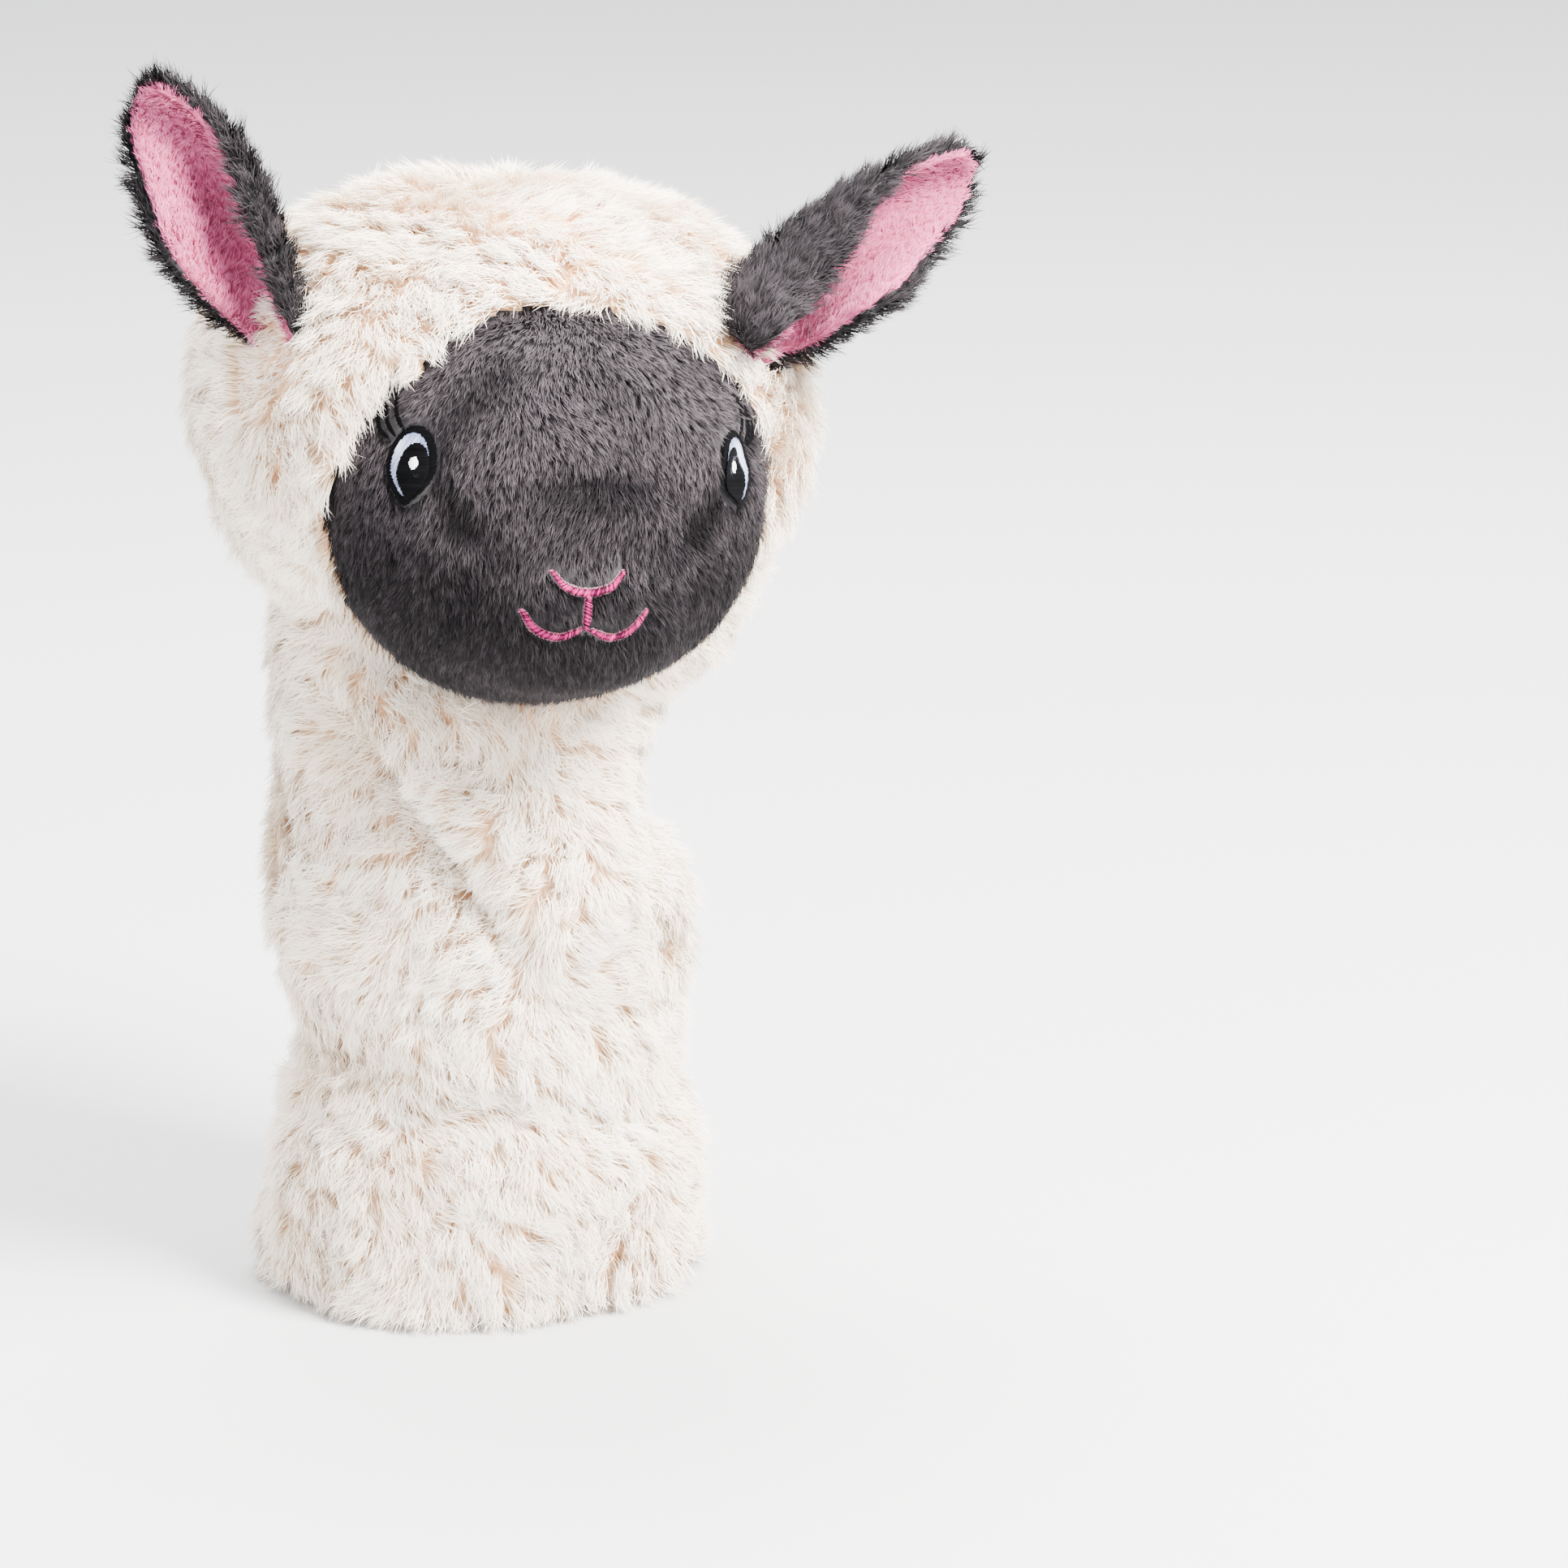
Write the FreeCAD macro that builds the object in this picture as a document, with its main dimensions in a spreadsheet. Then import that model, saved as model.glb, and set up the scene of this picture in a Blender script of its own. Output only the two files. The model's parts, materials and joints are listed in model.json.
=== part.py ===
import FreeCAD, Part
import math
import os
import re
from FreeCAD import Placement, Rotation, Vector

# Plush lamb head cover for a golf driver, millimetres, +Z up.
# The origin is the centre of the sleeve's mouth, in the plane of the hem; the face looks along -Y.
# The head sits on the neck with a small roll about Y. Every fur panel is as thick as its backing
# and pile together, so the outer faces are the mean surface of the pile.

DIMENSIONS = {
    # head: an egg of cream long pile, with the grey face dome set into its front
    "head_wide": 82, "head_deep": 68, "head_tall": 64.5,
    "head_back_shift": -18, "head_height": 228.5, "head_side_shift": -3, "head_roll": 5, "neck_height": 175,
    "face_wide": 58.5, "face_deep": 52, "face_tall": 54, "face_shift": -48, "face_height": 221,
    "cream_thick": 9, "grey_thick": 5, "gusset_wide": 48, "throat_seam_height": 182,
    # face seams: the bridge tapers down to the nose, the muzzle widens down to the chin
    "bridge_top_wide": 78, "bridge_low_wide": 50, "muzzle_low_wide": 68, "nose_seam_height": 230,
    # lined pocket for the driver's head
    "pocket_wide": 60, "pocket_deep": 52, "pocket_tall": 43, "pocket_shift": -20,
    "lining_thick": 2.5,
    # sleeve: half widths and half depths of its outer sections
    "hem_wide": 57, "hem_deep": 52, "mid_wide": 55.5, "mid_deep": 49, "mid_height": 80,
    "neck_wide": 53, "neck_deep": 45.5, "sleeve_top": 215, "sleeve_thick": 10,
    # turned hem, lining tube, elastic and the casing that it runs in
    "facing_tall": 22, "mouth_radius": 34, "throat_radius": 26, "throat_low": 138, "throat_high": 158,
    "pocket_neck_radius": 28, "elastic_tall": 8, "elastic_thick": 1.5, "casing_thick": 1.2,
    "elastic_gap": 0.4,
    # embroidery: sunk into the pile, in three layers of thread
    "thread_sunk": 1.4, "thread_layer": 0.5, "satin_wide": 1.9,
    "eye_side": 41.5, "eye_height": 233.5, "eye_turn": 48, "eye_wide": 12.5, "eye_tall": 19,
    # ears: length from hinge to tip, panel thicknesses, travel either way and gap to the head
    "ear_long": 66, "ear_grey": 2.4, "ear_batting": 1.2, "ear_pink": 2.0,
    "ear_lift": 20, "ear_droop": 30, "ear_gap": 0.8,
    # each ear: its hinge's place, lean from upright, turn of its cup to the side, wrap of its
    # section in degrees, height of its fold, and how far its base is spread
    "ear_left_side": 65.7, "ear_left_shift": -37.9, "ear_left_height": 258,
    "ear_left_lean": 29.5, "ear_left_cup": 48.7, "ear_left_wrap": 80, "ear_left_fold": 15,
    "ear_left_spread": 1.0,
    "ear_right_side": 49.2, "ear_right_shift": -48.6, "ear_right_height": 269.2,
    "ear_right_lean": 54.8, "ear_right_cup": 42, "ear_right_wrap": 88, "ear_right_fold": 9,
    "ear_right_spread": 1.8,
}

doc = FreeCAD.newDocument("driver_head_cover")
sheet = doc.addObject("Spreadsheet::Sheet", "Dimensions")
for row, (alias, number) in enumerate(DIMENSIONS.items(), 1):
    sheet.set(f"A{row}", alias)
    sheet.set(f"B{row}", str(number))
    sheet.setAlias(f"B{row}", alias)
doc.recompute()

Y_AXIS, Z_AXIS = Vector(0, 1, 0), Vector(0, 0, 1)
nodes = []


def size(alias):
    return float(getattr(sheet, alias))


def cells(expression):
    """The expression with each alias written as a cell of the sheet."""
    return re.sub("[a-z_]+", lambda word: "Dimensions." + word[0], expression)


def bind(thing, **expressions):
    for name, expression in expressions.items():
        thing.setExpression(name, cells(expression))
    return thing


def node(name, thing):
    thing.Label = name
    nodes.append(thing)
    return thing


# The head's pose: rolled about a line along Y through the neck, and a little to one side.
HEAD_POSE = Placement(Vector(size("head_side_shift"), 0, 0), Rotation(Y_AXIS, size("head_roll")),
                      Vector(0, 0, size("neck_height")))


# ---- building blocks ------------------------------------------------------------------------

def egg(name, centre, wide, deep, tall):
    """An ellipsoid in the head's pose; wide, deep and tall are half sizes as expressions."""
    thing = doc.addObject("Part::Ellipsoid", name)
    bind(thing, Radius1=tall, Radius2=wide, Radius3=deep)
    thing.Placement = HEAD_POSE.multiply(Placement(centre, Rotation()))
    return thing


def cut(name, base, *tools):
    for index, tool in enumerate(tools):
        last = index == len(tools) - 1
        thing = doc.addObject("Part::Cut", name if last else f"{name}_step{index}")
        thing.Base, thing.Tool = base, tool
        base = thing
    return base


def common(name, base, tool):
    thing = doc.addObject("Part::Common", name)
    thing.Base, thing.Tool = base, tool
    return thing


def box(name, low, high, pose=Placement()):
    thing = doc.addObject("Part::Box", name)
    thing.Length, thing.Width, thing.Height = high - low
    thing.Placement = pose.multiply(Placement(low, Rotation()))
    return thing


def prism(name, outline, start, depth, pose):
    """Outline points (across, up) of a plane that faces -Y, swept along +Y from start."""
    points = [Vector(x, start, z) for x, z in outline]
    face = doc.addObject("Part::Feature", name + "_face")
    face.Shape = Part.Face(Part.makePolygon(points + points[:1]))
    face.Placement = pose
    thing = doc.addObject("Part::Extrusion", name)
    thing.Base = face
    thing.DirMode = "Custom"
    thing.Dir = pose.Rotation.multVec(Y_AXIS)
    thing.LengthFwd = depth
    thing.Solid = True
    return thing


def oval_loft(name, inset):
    """The sleeve's body, from below the hem to inside the head, inset from its outer face."""
    sections = []
    stations = [("hem", "0"), ("mid", "mid_height"), ("neck", "neck_height"), ("neck", "sleeve_top")]
    for index, (station, height) in enumerate(stations):
        oval = doc.addObject("Part::Ellipse", f"{name}_oval{index}")
        bind(oval, MajorRadius=f"{station}_wide - {inset}", MinorRadius=f"{station}_deep - {inset}")
        oval.setExpression("Placement.Base.z", cells(height))
        sections.append(oval)
    loft = doc.addObject("Part::Loft", name)
    loft.Sections = sections
    loft.Solid = True
    return loft


def cone(name, low, high, radius_low, radius_high):
    thing = doc.addObject("Part::Cone", name)
    bind(thing, Radius1=radius_low, Radius2=radius_high, Height=f"{high} - ({low})")
    thing.setExpression("Placement.Base.z", cells(low))
    return thing


def cylinder(name, low, high, radius):
    thing = doc.addObject("Part::Cylinder", name)
    bind(thing, Radius=radius, Height=f"{high} - ({low})")
    thing.setExpression("Placement.Base.z", cells(low))
    return thing


# ---- the shared outer and inner forms --------------------------------------------------------

head_centre = Vector(0, size("head_back_shift"), size("head_height"))
face_centre = Vector(0, size("face_shift"), size("face_height"))
pocket_centre = Vector(0, size("pocket_shift"), size("head_height"))


def head_egg(name, inset):
    return egg(name, head_centre, f"head_wide - {inset}", f"head_deep - {inset}",
               f"head_tall - {inset}")


def face_egg(name, inset):
    return egg(name, face_centre, f"face_wide - ({inset})", f"face_deep - ({inset})",
               f"face_tall - ({inset})")


def pocket_egg(name, outset):
    return egg(name, pocket_centre, f"pocket_wide + {outset}", f"pocket_deep + {outset}",
               f"pocket_tall + {outset}")


head_outer = head_egg("head_outer", "0")
head_inner = head_egg("head_inner", "cream_thick")
face_outer = face_egg("face_outer", "0")
face_inner = face_egg("face_inner", "grey_thick")
pocket_outer = pocket_egg("pocket_outer", "lining_thick")
pocket_inner = pocket_egg("pocket_inner", "0")
sleeve_outer = oval_loft("sleeve_outer", "0")
sleeve_inner = oval_loft("sleeve_inner", "sleeve_thick")

REACH = 200.0
tube_clear = cylinder("tube_clear", "0", "sleeve_top", "pocket_neck_radius + lining_thick")


# ---- sleeve: front and back fur panels, turned hem --------------------------------------------

def make_sleeve():
    sleeve = cut("sleeve_skin", sleeve_outer, sleeve_inner, head_outer, face_outer)
    front = box("front_half", Vector(-REACH, -REACH, -1), Vector(REACH, 0, 2 * REACH))
    back = box("back_half", Vector(-REACH, 0, -1), Vector(REACH, REACH, 2 * REACH))
    node("sleeve_front_panel", common("sleeve_front", sleeve, front))
    node("sleeve_back_panel", common("sleeve_back", sleeve, back))
    hem_zone = box("hem_zone", Vector(-REACH, -REACH, 0), Vector(REACH, REACH, size("facing_tall")))
    mouth = cylinder("mouth", "0", "facing_tall", "mouth_radius")
    facing = common("facing_block", sleeve_inner, hem_zone)
    node("sleeve_hem_facing", cut("hem_facing", facing, mouth))


# ---- head: two sides, the gusset over the crown to the nape, and the throat below the chin ------

def make_head():
    whole = cut("head_skin", head_outer, head_inner, face_outer, sleeve_inner)
    below_chin = box("throat_zone", Vector(-REACH, -REACH, 0),
                     Vector(REACH, size("pocket_shift") / 2, size("throat_seam_height")), HEAD_POSE)
    node("head_throat_panel", common("head_throat", whole, below_chin))
    skin = cut("head_upper_skin", whole, below_chin)
    half = size("gusset_wide") / 2
    zones = {
        "head_left_panel": (-REACH, -half),
        "head_crown_gusset": (-half, half),
        "head_right_panel": (half, REACH),
    }
    for name, (low, high) in zones.items():
        zone = box(name + "_zone", Vector(low, -REACH, 0), Vector(high, REACH, 2 * REACH), HEAD_POSE)
        node(name, common(name + "_cut", skin, zone))


# ---- face: bridge, muzzle and two cheeks in short grey pile ------------------------------------

def seam_zone(name, low_half, high_half, low, high):
    outline = [(-low_half, low), (low_half, low), (high_half, high), (-high_half, high)]
    return prism(name, outline, -REACH, 2 * REACH, HEAD_POSE)


def make_face(recesses):
    skin = cut("face_skin", face_outer, face_inner, head_inner, tube_clear, *recesses)
    seam, top = size("nose_seam_height"), size("head_height") + size("head_tall")
    low = size("face_height") - size("face_tall") - 1
    middle = size("bridge_low_wide") / 2
    bridge = seam_zone("bridge_zone", middle, size("bridge_top_wide") / 2, seam, top)
    muzzle = seam_zone("muzzle_zone", size("muzzle_low_wide") / 2, middle, low, seam)
    node("face_bridge_panel", common("face_bridge", skin, bridge))
    node("face_muzzle_panel", common("face_muzzle", skin, muzzle))
    cheeks = cut("face_cheeks", skin, bridge, muzzle)
    for side, (near, far) in {"left": (-REACH, 0), "right": (0, REACH)}.items():
        zone = box(f"cheek_{side}_zone", Vector(near, -REACH, 0), Vector(far, REACH, 2 * REACH),
                   HEAD_POSE)
        node(f"face_{side}_cheek_panel", common(f"cheek_{side}", cheeks, zone))
    node("muzzle_stuffing", cut("muzzle_fill", face_inner, head_inner, pocket_outer, tube_clear))


# ---- inside: wadding, lining and the elastic that closes on the shaft --------------------------

def make_inside():
    node("head_padding", cut("padding", head_inner, pocket_outer, tube_clear))
    throat = cylinder("pocket_hole", "throat_high", "head_height", "pocket_neck_radius")
    node("lining_pocket", cut("pocket_bag", pocket_outer, pocket_inner, throat))
    pieces = {
        "lining_sleeve": (cone, "facing_tall", "throat_low", "mouth_radius - lining_thick", "throat_radius"),
        "lining_throat": (cylinder, "throat_low", "throat_high", "throat_radius"),
        "lining_neck": (cone, "throat_high", "sleeve_top", "throat_radius", "pocket_neck_radius"),
    }
    for name, (form, low, high, *radii) in pieces.items():
        void = form(name + "_void", low, high, *radii)
        wall = form(name + "_wall", low, high, *(f"{radius} + lining_thick" for radius in radii))
        node(name, cut(name + "_tube", wall, void, pocket_outer))
    middle = (size("throat_low") + size("throat_high")) / 2
    lining_face = "throat_radius + lining_thick + elastic_gap"
    for name, thick, start in (("neck_elastic", "elastic_thick", lining_face),
                               ("elastic_casing", "casing_thick",
                                lining_face + " + elastic_thick + elastic_gap")):
        band = doc.addObject("Part::Cylinder", name + "_outer")
        hole = doc.addObject("Part::Cylinder", name + "_hole")
        bind(band, Radius=f"{start} + {thick}", Height="elastic_tall")
        bind(hole, Radius=start, Height="elastic_tall")
        for part in (band, hole):
            part.Placement.Base = Vector(0, 0, middle - size("elastic_tall") / 2)
        node(name, cut(name + "_band", band, hole))


# ---- embroidery -------------------------------------------------------------------------------

def smooth_face(points, pose):
    curve = Part.BSplineCurve()
    curve.interpolate([Vector(x, 0, z) for x, z in points], PeriodicFlag=True)
    face = Part.Face(Part.Wire(curve.toShape()))
    face.Placement = pose
    return face


# Outlines of stitching are drawn on planes this far inside the face, and swept out through it.
EYE_PLANE_DEPTH, MOUTH_PLANE_SHIFT, STITCH_REACH = 15.0, 30.0, 60.0


def swept(name, faces, outward):
    block = doc.addObject("Part::Feature", name)
    block.Shape = Part.makeCompound([face.extrude(outward * STITCH_REACH) for face in faces])
    return block


def stitched(name, faces, outward, layers):
    """Thread laid through the faces, between two layers above the sunk base of the pile."""
    block = swept(name + "_block", faces, outward)
    low, high = layers
    shells = [face_egg(f"{name}_layer{level}", f"thread_sunk - {level} * thread_layer")
              for level in (low, high)]
    return cut(name + "_thread", common(name + "_upper", block, shells[1]), shells[0])


def recess(name, faces, outward):
    block = swept(name + "_recess", faces, outward)
    return cut(name + "_pit", block, face_egg(name + "_pit_floor", "thread_sunk"))


def satin_stroke(points, width, pose):
    """A band of satin stitch along a smooth line, tapered to blunt ends."""
    line = Part.BSplineCurve()
    line.interpolate([Vector(x, 0, z) for x, z in points])
    steps = 12
    sides = ([], [])
    for step in range(steps + 1):
        share = step / steps
        at = line.FirstParameter + share * (line.LastParameter - line.FirstParameter)
        along = line.tangent(at)[0]
        across = along.cross(Y_AXIS)
        half = width / 2 * (0.45 + 0.55 * math.sin(math.pi * share) ** 0.5)
        for side, sign in zip(sides, (1, -1)):
            side.append(line.value(at) + across * half * sign)
    edges = []
    for side in sides:
        curve = Part.BSplineCurve()
        curve.interpolate(side)
        edges.append(curve.toShape())
    ends = [Part.makeLine(sides[0][i], sides[1][i]) for i in (0, -1)]
    face = Part.Face(Part.Wire(Part.__sortEdges__([edges[0], ends[1], edges[1], ends[0]])))
    face.Placement = pose
    return face


def teardrop(wide, tall, across=0.0, rise=0.0):
    """Outline of an eye: round above, drawn in below; across and rise move its centre."""
    points = []
    for degrees in range(0, 360, 24):
        turn = math.radians(degrees)
        up = math.sin(turn)
        pinch = 1.0 if up > 0 else 1.0 - EYE_POINT * up * up
        points.append((across + wide / 2 * math.cos(turn) * pinch, rise + tall / 2 * up))
    return points


def lash(side, wide, tall, reach, rise, pose):
    """One lash from the eye's outer rim, up and out; reach and rise are shares of the eye's size."""
    root = Vector(side * wide * LASH_ROOT_SHARE * reach, 0, tall * (0.52 - 0.28 * reach))
    tip = Vector(side * wide * (0.45 + 0.55 * reach), 0, tall * (rise + 0.16))
    middle = (root + tip) / 2 + Vector(side, 0, -1) * LASH_BEND
    return satin_stroke([(point.x, point.z) for point in (root, middle, tip)],
                        size("satin_wide") * LASH_WIDTH_SHARE, pose)


# How much an eye narrows at its foot, and the shares of its size that the parts inside it take.
EYE_POINT = 0.55
IRIS_SHARE, PUPIL_SHARE, GLINT_SHARE = (0.80, 0.86), (0.50, 0.60), (0.20, 0.17)
PUPIL_SHIFT, GLINT_SHIFT = (-0.10, -0.07), (-0.06, 0.05)
LASHES = ((0.30, 0.62), (0.55, 0.50), (0.72, 0.34))
LASH_ROOT_SHARE, LASH_WIDTH_SHARE, LASH_BEND = 0.8, 0.45, 0.6


def eye_pose(side):
    """A plane well inside the face, below the eye, turned to the way the eye looks."""
    turn = Rotation(Z_AXIS, side * size("eye_turn"))
    outward = turn.multVec(-Y_AXIS)
    depth = size("face_deep") * math.sqrt(
        1 - (size("eye_side") / size("face_wide")) ** 2
        - ((size("eye_height") - size("face_height")) / size("face_tall")) ** 2)
    centre = Vector(side * size("eye_side"), size("face_shift") - depth, size("eye_height"))
    pose = HEAD_POSE.multiply(Placement(centre - outward * EYE_PLANE_DEPTH, turn))
    return pose, HEAD_POSE.Rotation.multVec(outward)


def make_eyes():
    pits = []
    wide, tall = size("eye_wide"), size("eye_tall")
    for name, side in (("left", -1), ("right", 1)):
        pose, outward = eye_pose(side)
        def patch(share, shift=(0.0, 0.0)):
            outline = teardrop(wide * share[0], tall * share[1], side * wide * shift[0],
                               tall * shift[1])
            return smooth_face(outline, pose)

        outer, pupil = [patch((1.0, 1.0))], patch(PUPIL_SHARE, PUPIL_SHIFT)
        inner, spark = patch(IRIS_SHARE), patch(GLINT_SHARE, GLINT_SHIFT)
        lashes = [lash(side, wide, tall, reach, rise, pose) for reach, rise in LASHES]
        eye = f"eye_{name}"
        node(f"{eye}_outline", stitched(f"{eye}_outline", outer, outward, (0, 1)))
        iris = stitched(f"{eye}_iris", [inner.cut(pupil)], outward, (1, 2))
        node(f"{eye}_iris", iris)
        node(f"{eye}_pupil", stitched(f"{eye}_pupil", [pupil], outward, (1, 2)))
        node(f"{eye}_glint", stitched(f"{eye}_glint", [spark], outward, (2, 3)))
        clear_lashes = [stroke.cut(outer[0]) for stroke in lashes]
        node(f"{eye}_lashes", stitched(f"{eye}_lashes", clear_lashes, outward, (0, 1)))
        pits += [recess(f"{eye}_rim", outer, outward), recess(f"{eye}_lash", clear_lashes, outward)]
    return pits


# Stitched lines on the muzzle, (across, up) in the head's frame.
NOSE_CUP = ((-9.8, 212.6), (-5.5, 209.0), (0, 207.8), (5.5, 209.0), (9.8, 212.6))
LIP_LINE = ((0, 206.7), (0, 202.5), (0, 198.4))
MOUTH_CURL = ((17.2, 201.2), (12.5, 196.2), (6.5, 194.8), (1.2, 196.8))


def make_nose_and_mouth():
    """The nose is a shallow cup; the line below it opens into the two curls of the mouth."""
    pose = HEAD_POSE.multiply(Placement(Vector(0, size("face_shift") - MOUTH_PLANE_SHIFT, 0),
                                         Rotation()))
    outward = HEAD_POSE.Rotation.multVec(-Y_AXIS)
    width = size("satin_wide")
    cup = satin_stroke(NOSE_CUP, width, pose)
    line = satin_stroke(LIP_LINE, width, pose)
    curls = [satin_stroke([(side * x, z) for x, z in MOUTH_CURL], width, pose) for side in (-1, 1)]
    node("nose_stitching", stitched("nose_stitching", [cup], outward, (0, 2)))
    node("mouth_stitching", stitched("mouth_stitching", [line] + curls, outward, (0, 2)))
    return [recess("nose", [cup], outward), recess("mouth", [line] + curls, outward)]


# ---- ears: cupped leaves that open sideways, hinged where they are sewn to the head -------------

EAR_STATIONS = (
    # share of length, front half, rear half, then shares of the wrap, the fold and the spread
    (0.0, 18.5, 15.0, 0.92, 0.50, 1.0),
    (0.18, 19.5, 27.5, 1.0, 0.80, 0.66),
    (0.42, 20.5, 38.0, 1.0, 1.0, 0.25),
    (0.68, 13.0, 27.5, 0.90, 0.85, 0.0),
    (0.88, 6.0, 16.5, 0.70, 0.50, 0.0),
    (1.0, 2.0, 3.5, 0.40, 0.15, 0.0),
)
# An ear's section turns most within this distance of its fold, and curls on a little towards
# its edge, in degrees for each mm at the fullest wrap.
FOLD_LENGTH, EDGE_CURL, FULL_WRAP = 11.5, 0.6, 78
SWEEP_STEP = 10


def ear_hinge(name, side):
    return HEAD_POSE.multVec(Vector(side * size(f"ear_{name}_side"), size(f"ear_{name}_shift"),
                                    size(f"ear_{name}_height")))


def ear_pose(name, side):
    """The ear's frame: x across from front edge to rear edge, y out of the cup's back, z to the tip."""
    lean, turn = (math.radians(size(f"ear_{name}_{angle}")) for angle in ("lean", "cup"))
    up = Vector(side * math.sin(lean), 0, math.cos(lean))
    opening = Vector(side * math.sin(turn), -math.cos(turn), 0)
    opening = opening - up * opening.dot(up)
    opening.normalize()
    back = -opening
    turned = HEAD_POSE.Rotation.multiply(Rotation(back.cross(up), back, up, "ZXY"))
    return Placement(ear_hinge(name, side), turned)


def ear_curve(width, wrap, depth):
    """Half of an ear's section from the fold outwards, depth below its back: (across, back) points."""
    steps, points = 6, []
    across = back = 0.0
    for step in range(steps + 1):
        at = width * step / steps
        heading = math.radians(wrap * math.tanh(at / FOLD_LENGTH) + EDGE_CURL * at * wrap / FULL_WRAP)
        points.append((across - depth * math.sin(heading), back - depth * math.cos(heading)))
        across += width / steps * math.cos(heading)
        back -= width / steps * math.sin(heading)
    return points


def ear_layer(name, side, depth_out, depth_in):
    """One curved sheet of the ear, between two depths below the outer face of its back."""
    wrap, fold, spread = (size(f"ear_{name}_{word}") for word in ("wrap", "fold", "spread"))
    sections = []
    for share, front, rear, wrap_share, fold_share, spread_share in EAR_STATIONS:
        z = share * size("ear_long")
        wider = spread ** spread_share
        curves = []
        for depth in (depth_out, depth_in):
            front_half, rear_half = (ear_curve(width * wider, wrap * wrap_share, depth)
                                     for width in (front, rear))
            line = [(-x, y) for x, y in front_half[:0:-1]] + rear_half
            curve = Part.BSplineCurve()
            curve.interpolate([Vector(side * x, y + fold * fold_share, z) for x, y in line])
            curves.append(curve)
        outer, inner = curves
        ends = [Part.makeLine(outer.value(getattr(outer, end)), inner.value(getattr(inner, end)))
                for end in ("FirstParameter", "LastParameter")]
        inner.reverse()
        sections.append(Part.Wire([outer.toShape(), ends[1], inner.toShape(), ends[0]]))
    return Part.makeLoft(sections, True, False)


def swept_heads(name, side):
    """The head as the ear meets it through its travel: turned about the hinge, a gap larger."""
    heads = []
    for turn in range(-int(size("ear_lift")), int(size("ear_droop")) + 1, SWEEP_STEP):
        thing = head_egg(f"ear_{name}_head_at_{turn}", "(-ear_gap)")
        about = Placement(Vector(), Rotation(Y_AXIS, -side * turn), ear_hinge(name, side))
        thing.Placement = about.multiply(thing.Placement)
        heads.append(thing)
    return heads


def make_ears():
    grey, batting, pink = (size(name) for name in ("ear_grey", "ear_batting", "ear_pink"))
    layers = (("back_panel", 0, grey), ("batting", grey, grey + batting),
              ("front_panel", grey + batting, grey + batting + pink))
    for name, side in (("left", -1), ("right", 1)):
        heads = swept_heads(name, side)
        for layer, start, end in layers:
            leaf = doc.addObject("Part::Feature", f"ear_{name}_{layer}_sheet")
            leaf.Shape = ear_layer(name, side, start, end)
            leaf.Placement = ear_pose(name, side)
            node(f"ear_{name}_{layer}", cut(f"ear_{name}_{layer}_trimmed", leaf, *heads))


make_sleeve()
make_head()
pits = make_eyes() + make_nose_and_mouth()
make_face(pits)
make_inside()
make_ears()
doc.recompute()


# ---- check and export --------------------------------------------------------------------------

broken = [thing.Label for thing in doc.Objects if {"Invalid", "Error"} & set(thing.State)]
if broken:
    raise RuntimeError(f"objects failed to recompute: {broken}")
os.makedirs("parts", exist_ok=True)
for thing in nodes:
    shape = thing.Shape
    if shape.isNull() or not shape.isValid() or not shape.Solids:
        raise RuntimeError(f"{thing.Label} has no valid solid")
    print(f"{thing.Label}: {len(shape.Solids)} solid, {shape.Volume / 1000:.2f} cm3")
for thing in nodes:
    thing.Shape.exportStep(f"parts/{thing.Label}.step")
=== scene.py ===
import json
import math

import bpy
import numpy as np
from mathutils import Matrix, Vector
from mathutils.bvhtree import BVHTree
from mathutils.kdtree import KDTree

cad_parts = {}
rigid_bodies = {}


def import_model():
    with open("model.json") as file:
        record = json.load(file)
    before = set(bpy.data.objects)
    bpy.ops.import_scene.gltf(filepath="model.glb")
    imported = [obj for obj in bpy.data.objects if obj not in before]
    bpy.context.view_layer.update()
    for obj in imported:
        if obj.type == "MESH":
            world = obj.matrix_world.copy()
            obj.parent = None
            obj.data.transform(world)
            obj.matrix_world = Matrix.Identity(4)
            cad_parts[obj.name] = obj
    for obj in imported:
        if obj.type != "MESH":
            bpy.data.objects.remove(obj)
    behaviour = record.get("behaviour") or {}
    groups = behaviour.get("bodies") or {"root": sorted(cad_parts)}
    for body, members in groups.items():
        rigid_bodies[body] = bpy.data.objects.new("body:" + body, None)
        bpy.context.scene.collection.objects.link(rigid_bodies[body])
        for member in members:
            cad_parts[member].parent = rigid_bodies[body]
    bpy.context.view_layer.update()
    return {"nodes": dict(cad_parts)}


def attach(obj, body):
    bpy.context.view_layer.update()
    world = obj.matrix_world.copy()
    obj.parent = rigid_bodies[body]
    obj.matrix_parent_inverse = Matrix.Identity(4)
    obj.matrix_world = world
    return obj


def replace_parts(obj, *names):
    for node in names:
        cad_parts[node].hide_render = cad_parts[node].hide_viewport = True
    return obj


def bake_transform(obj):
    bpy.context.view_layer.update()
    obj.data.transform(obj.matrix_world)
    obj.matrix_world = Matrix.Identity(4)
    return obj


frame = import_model()
MM = 0.001

# ---- driving dimensions, in metres ----

HEAD = ((0, -0.018, 0.2285), (0.082, 0.068, 0.0645))
FACE = ((0, -0.048, 0.221), (0.0585, 0.052, 0.054))
MUZZLE = ((0, -0.068, 0.204), (0.040, 0.035, 0.031))
# The cream fur fills out below each ear, behind the face, lower on the right.
JOWLS = (((-0.0315, 0, 0.2094), (0.039, 0.045, 0.036)), ((0.0323, -0.012, 0.2059), (0.0417, 0.045, 0.050)))
HEAD_SHIFT, ROLL_PIVOT = -0.003, 0.175
HEAD_ROLL = math.radians(5)
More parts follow.
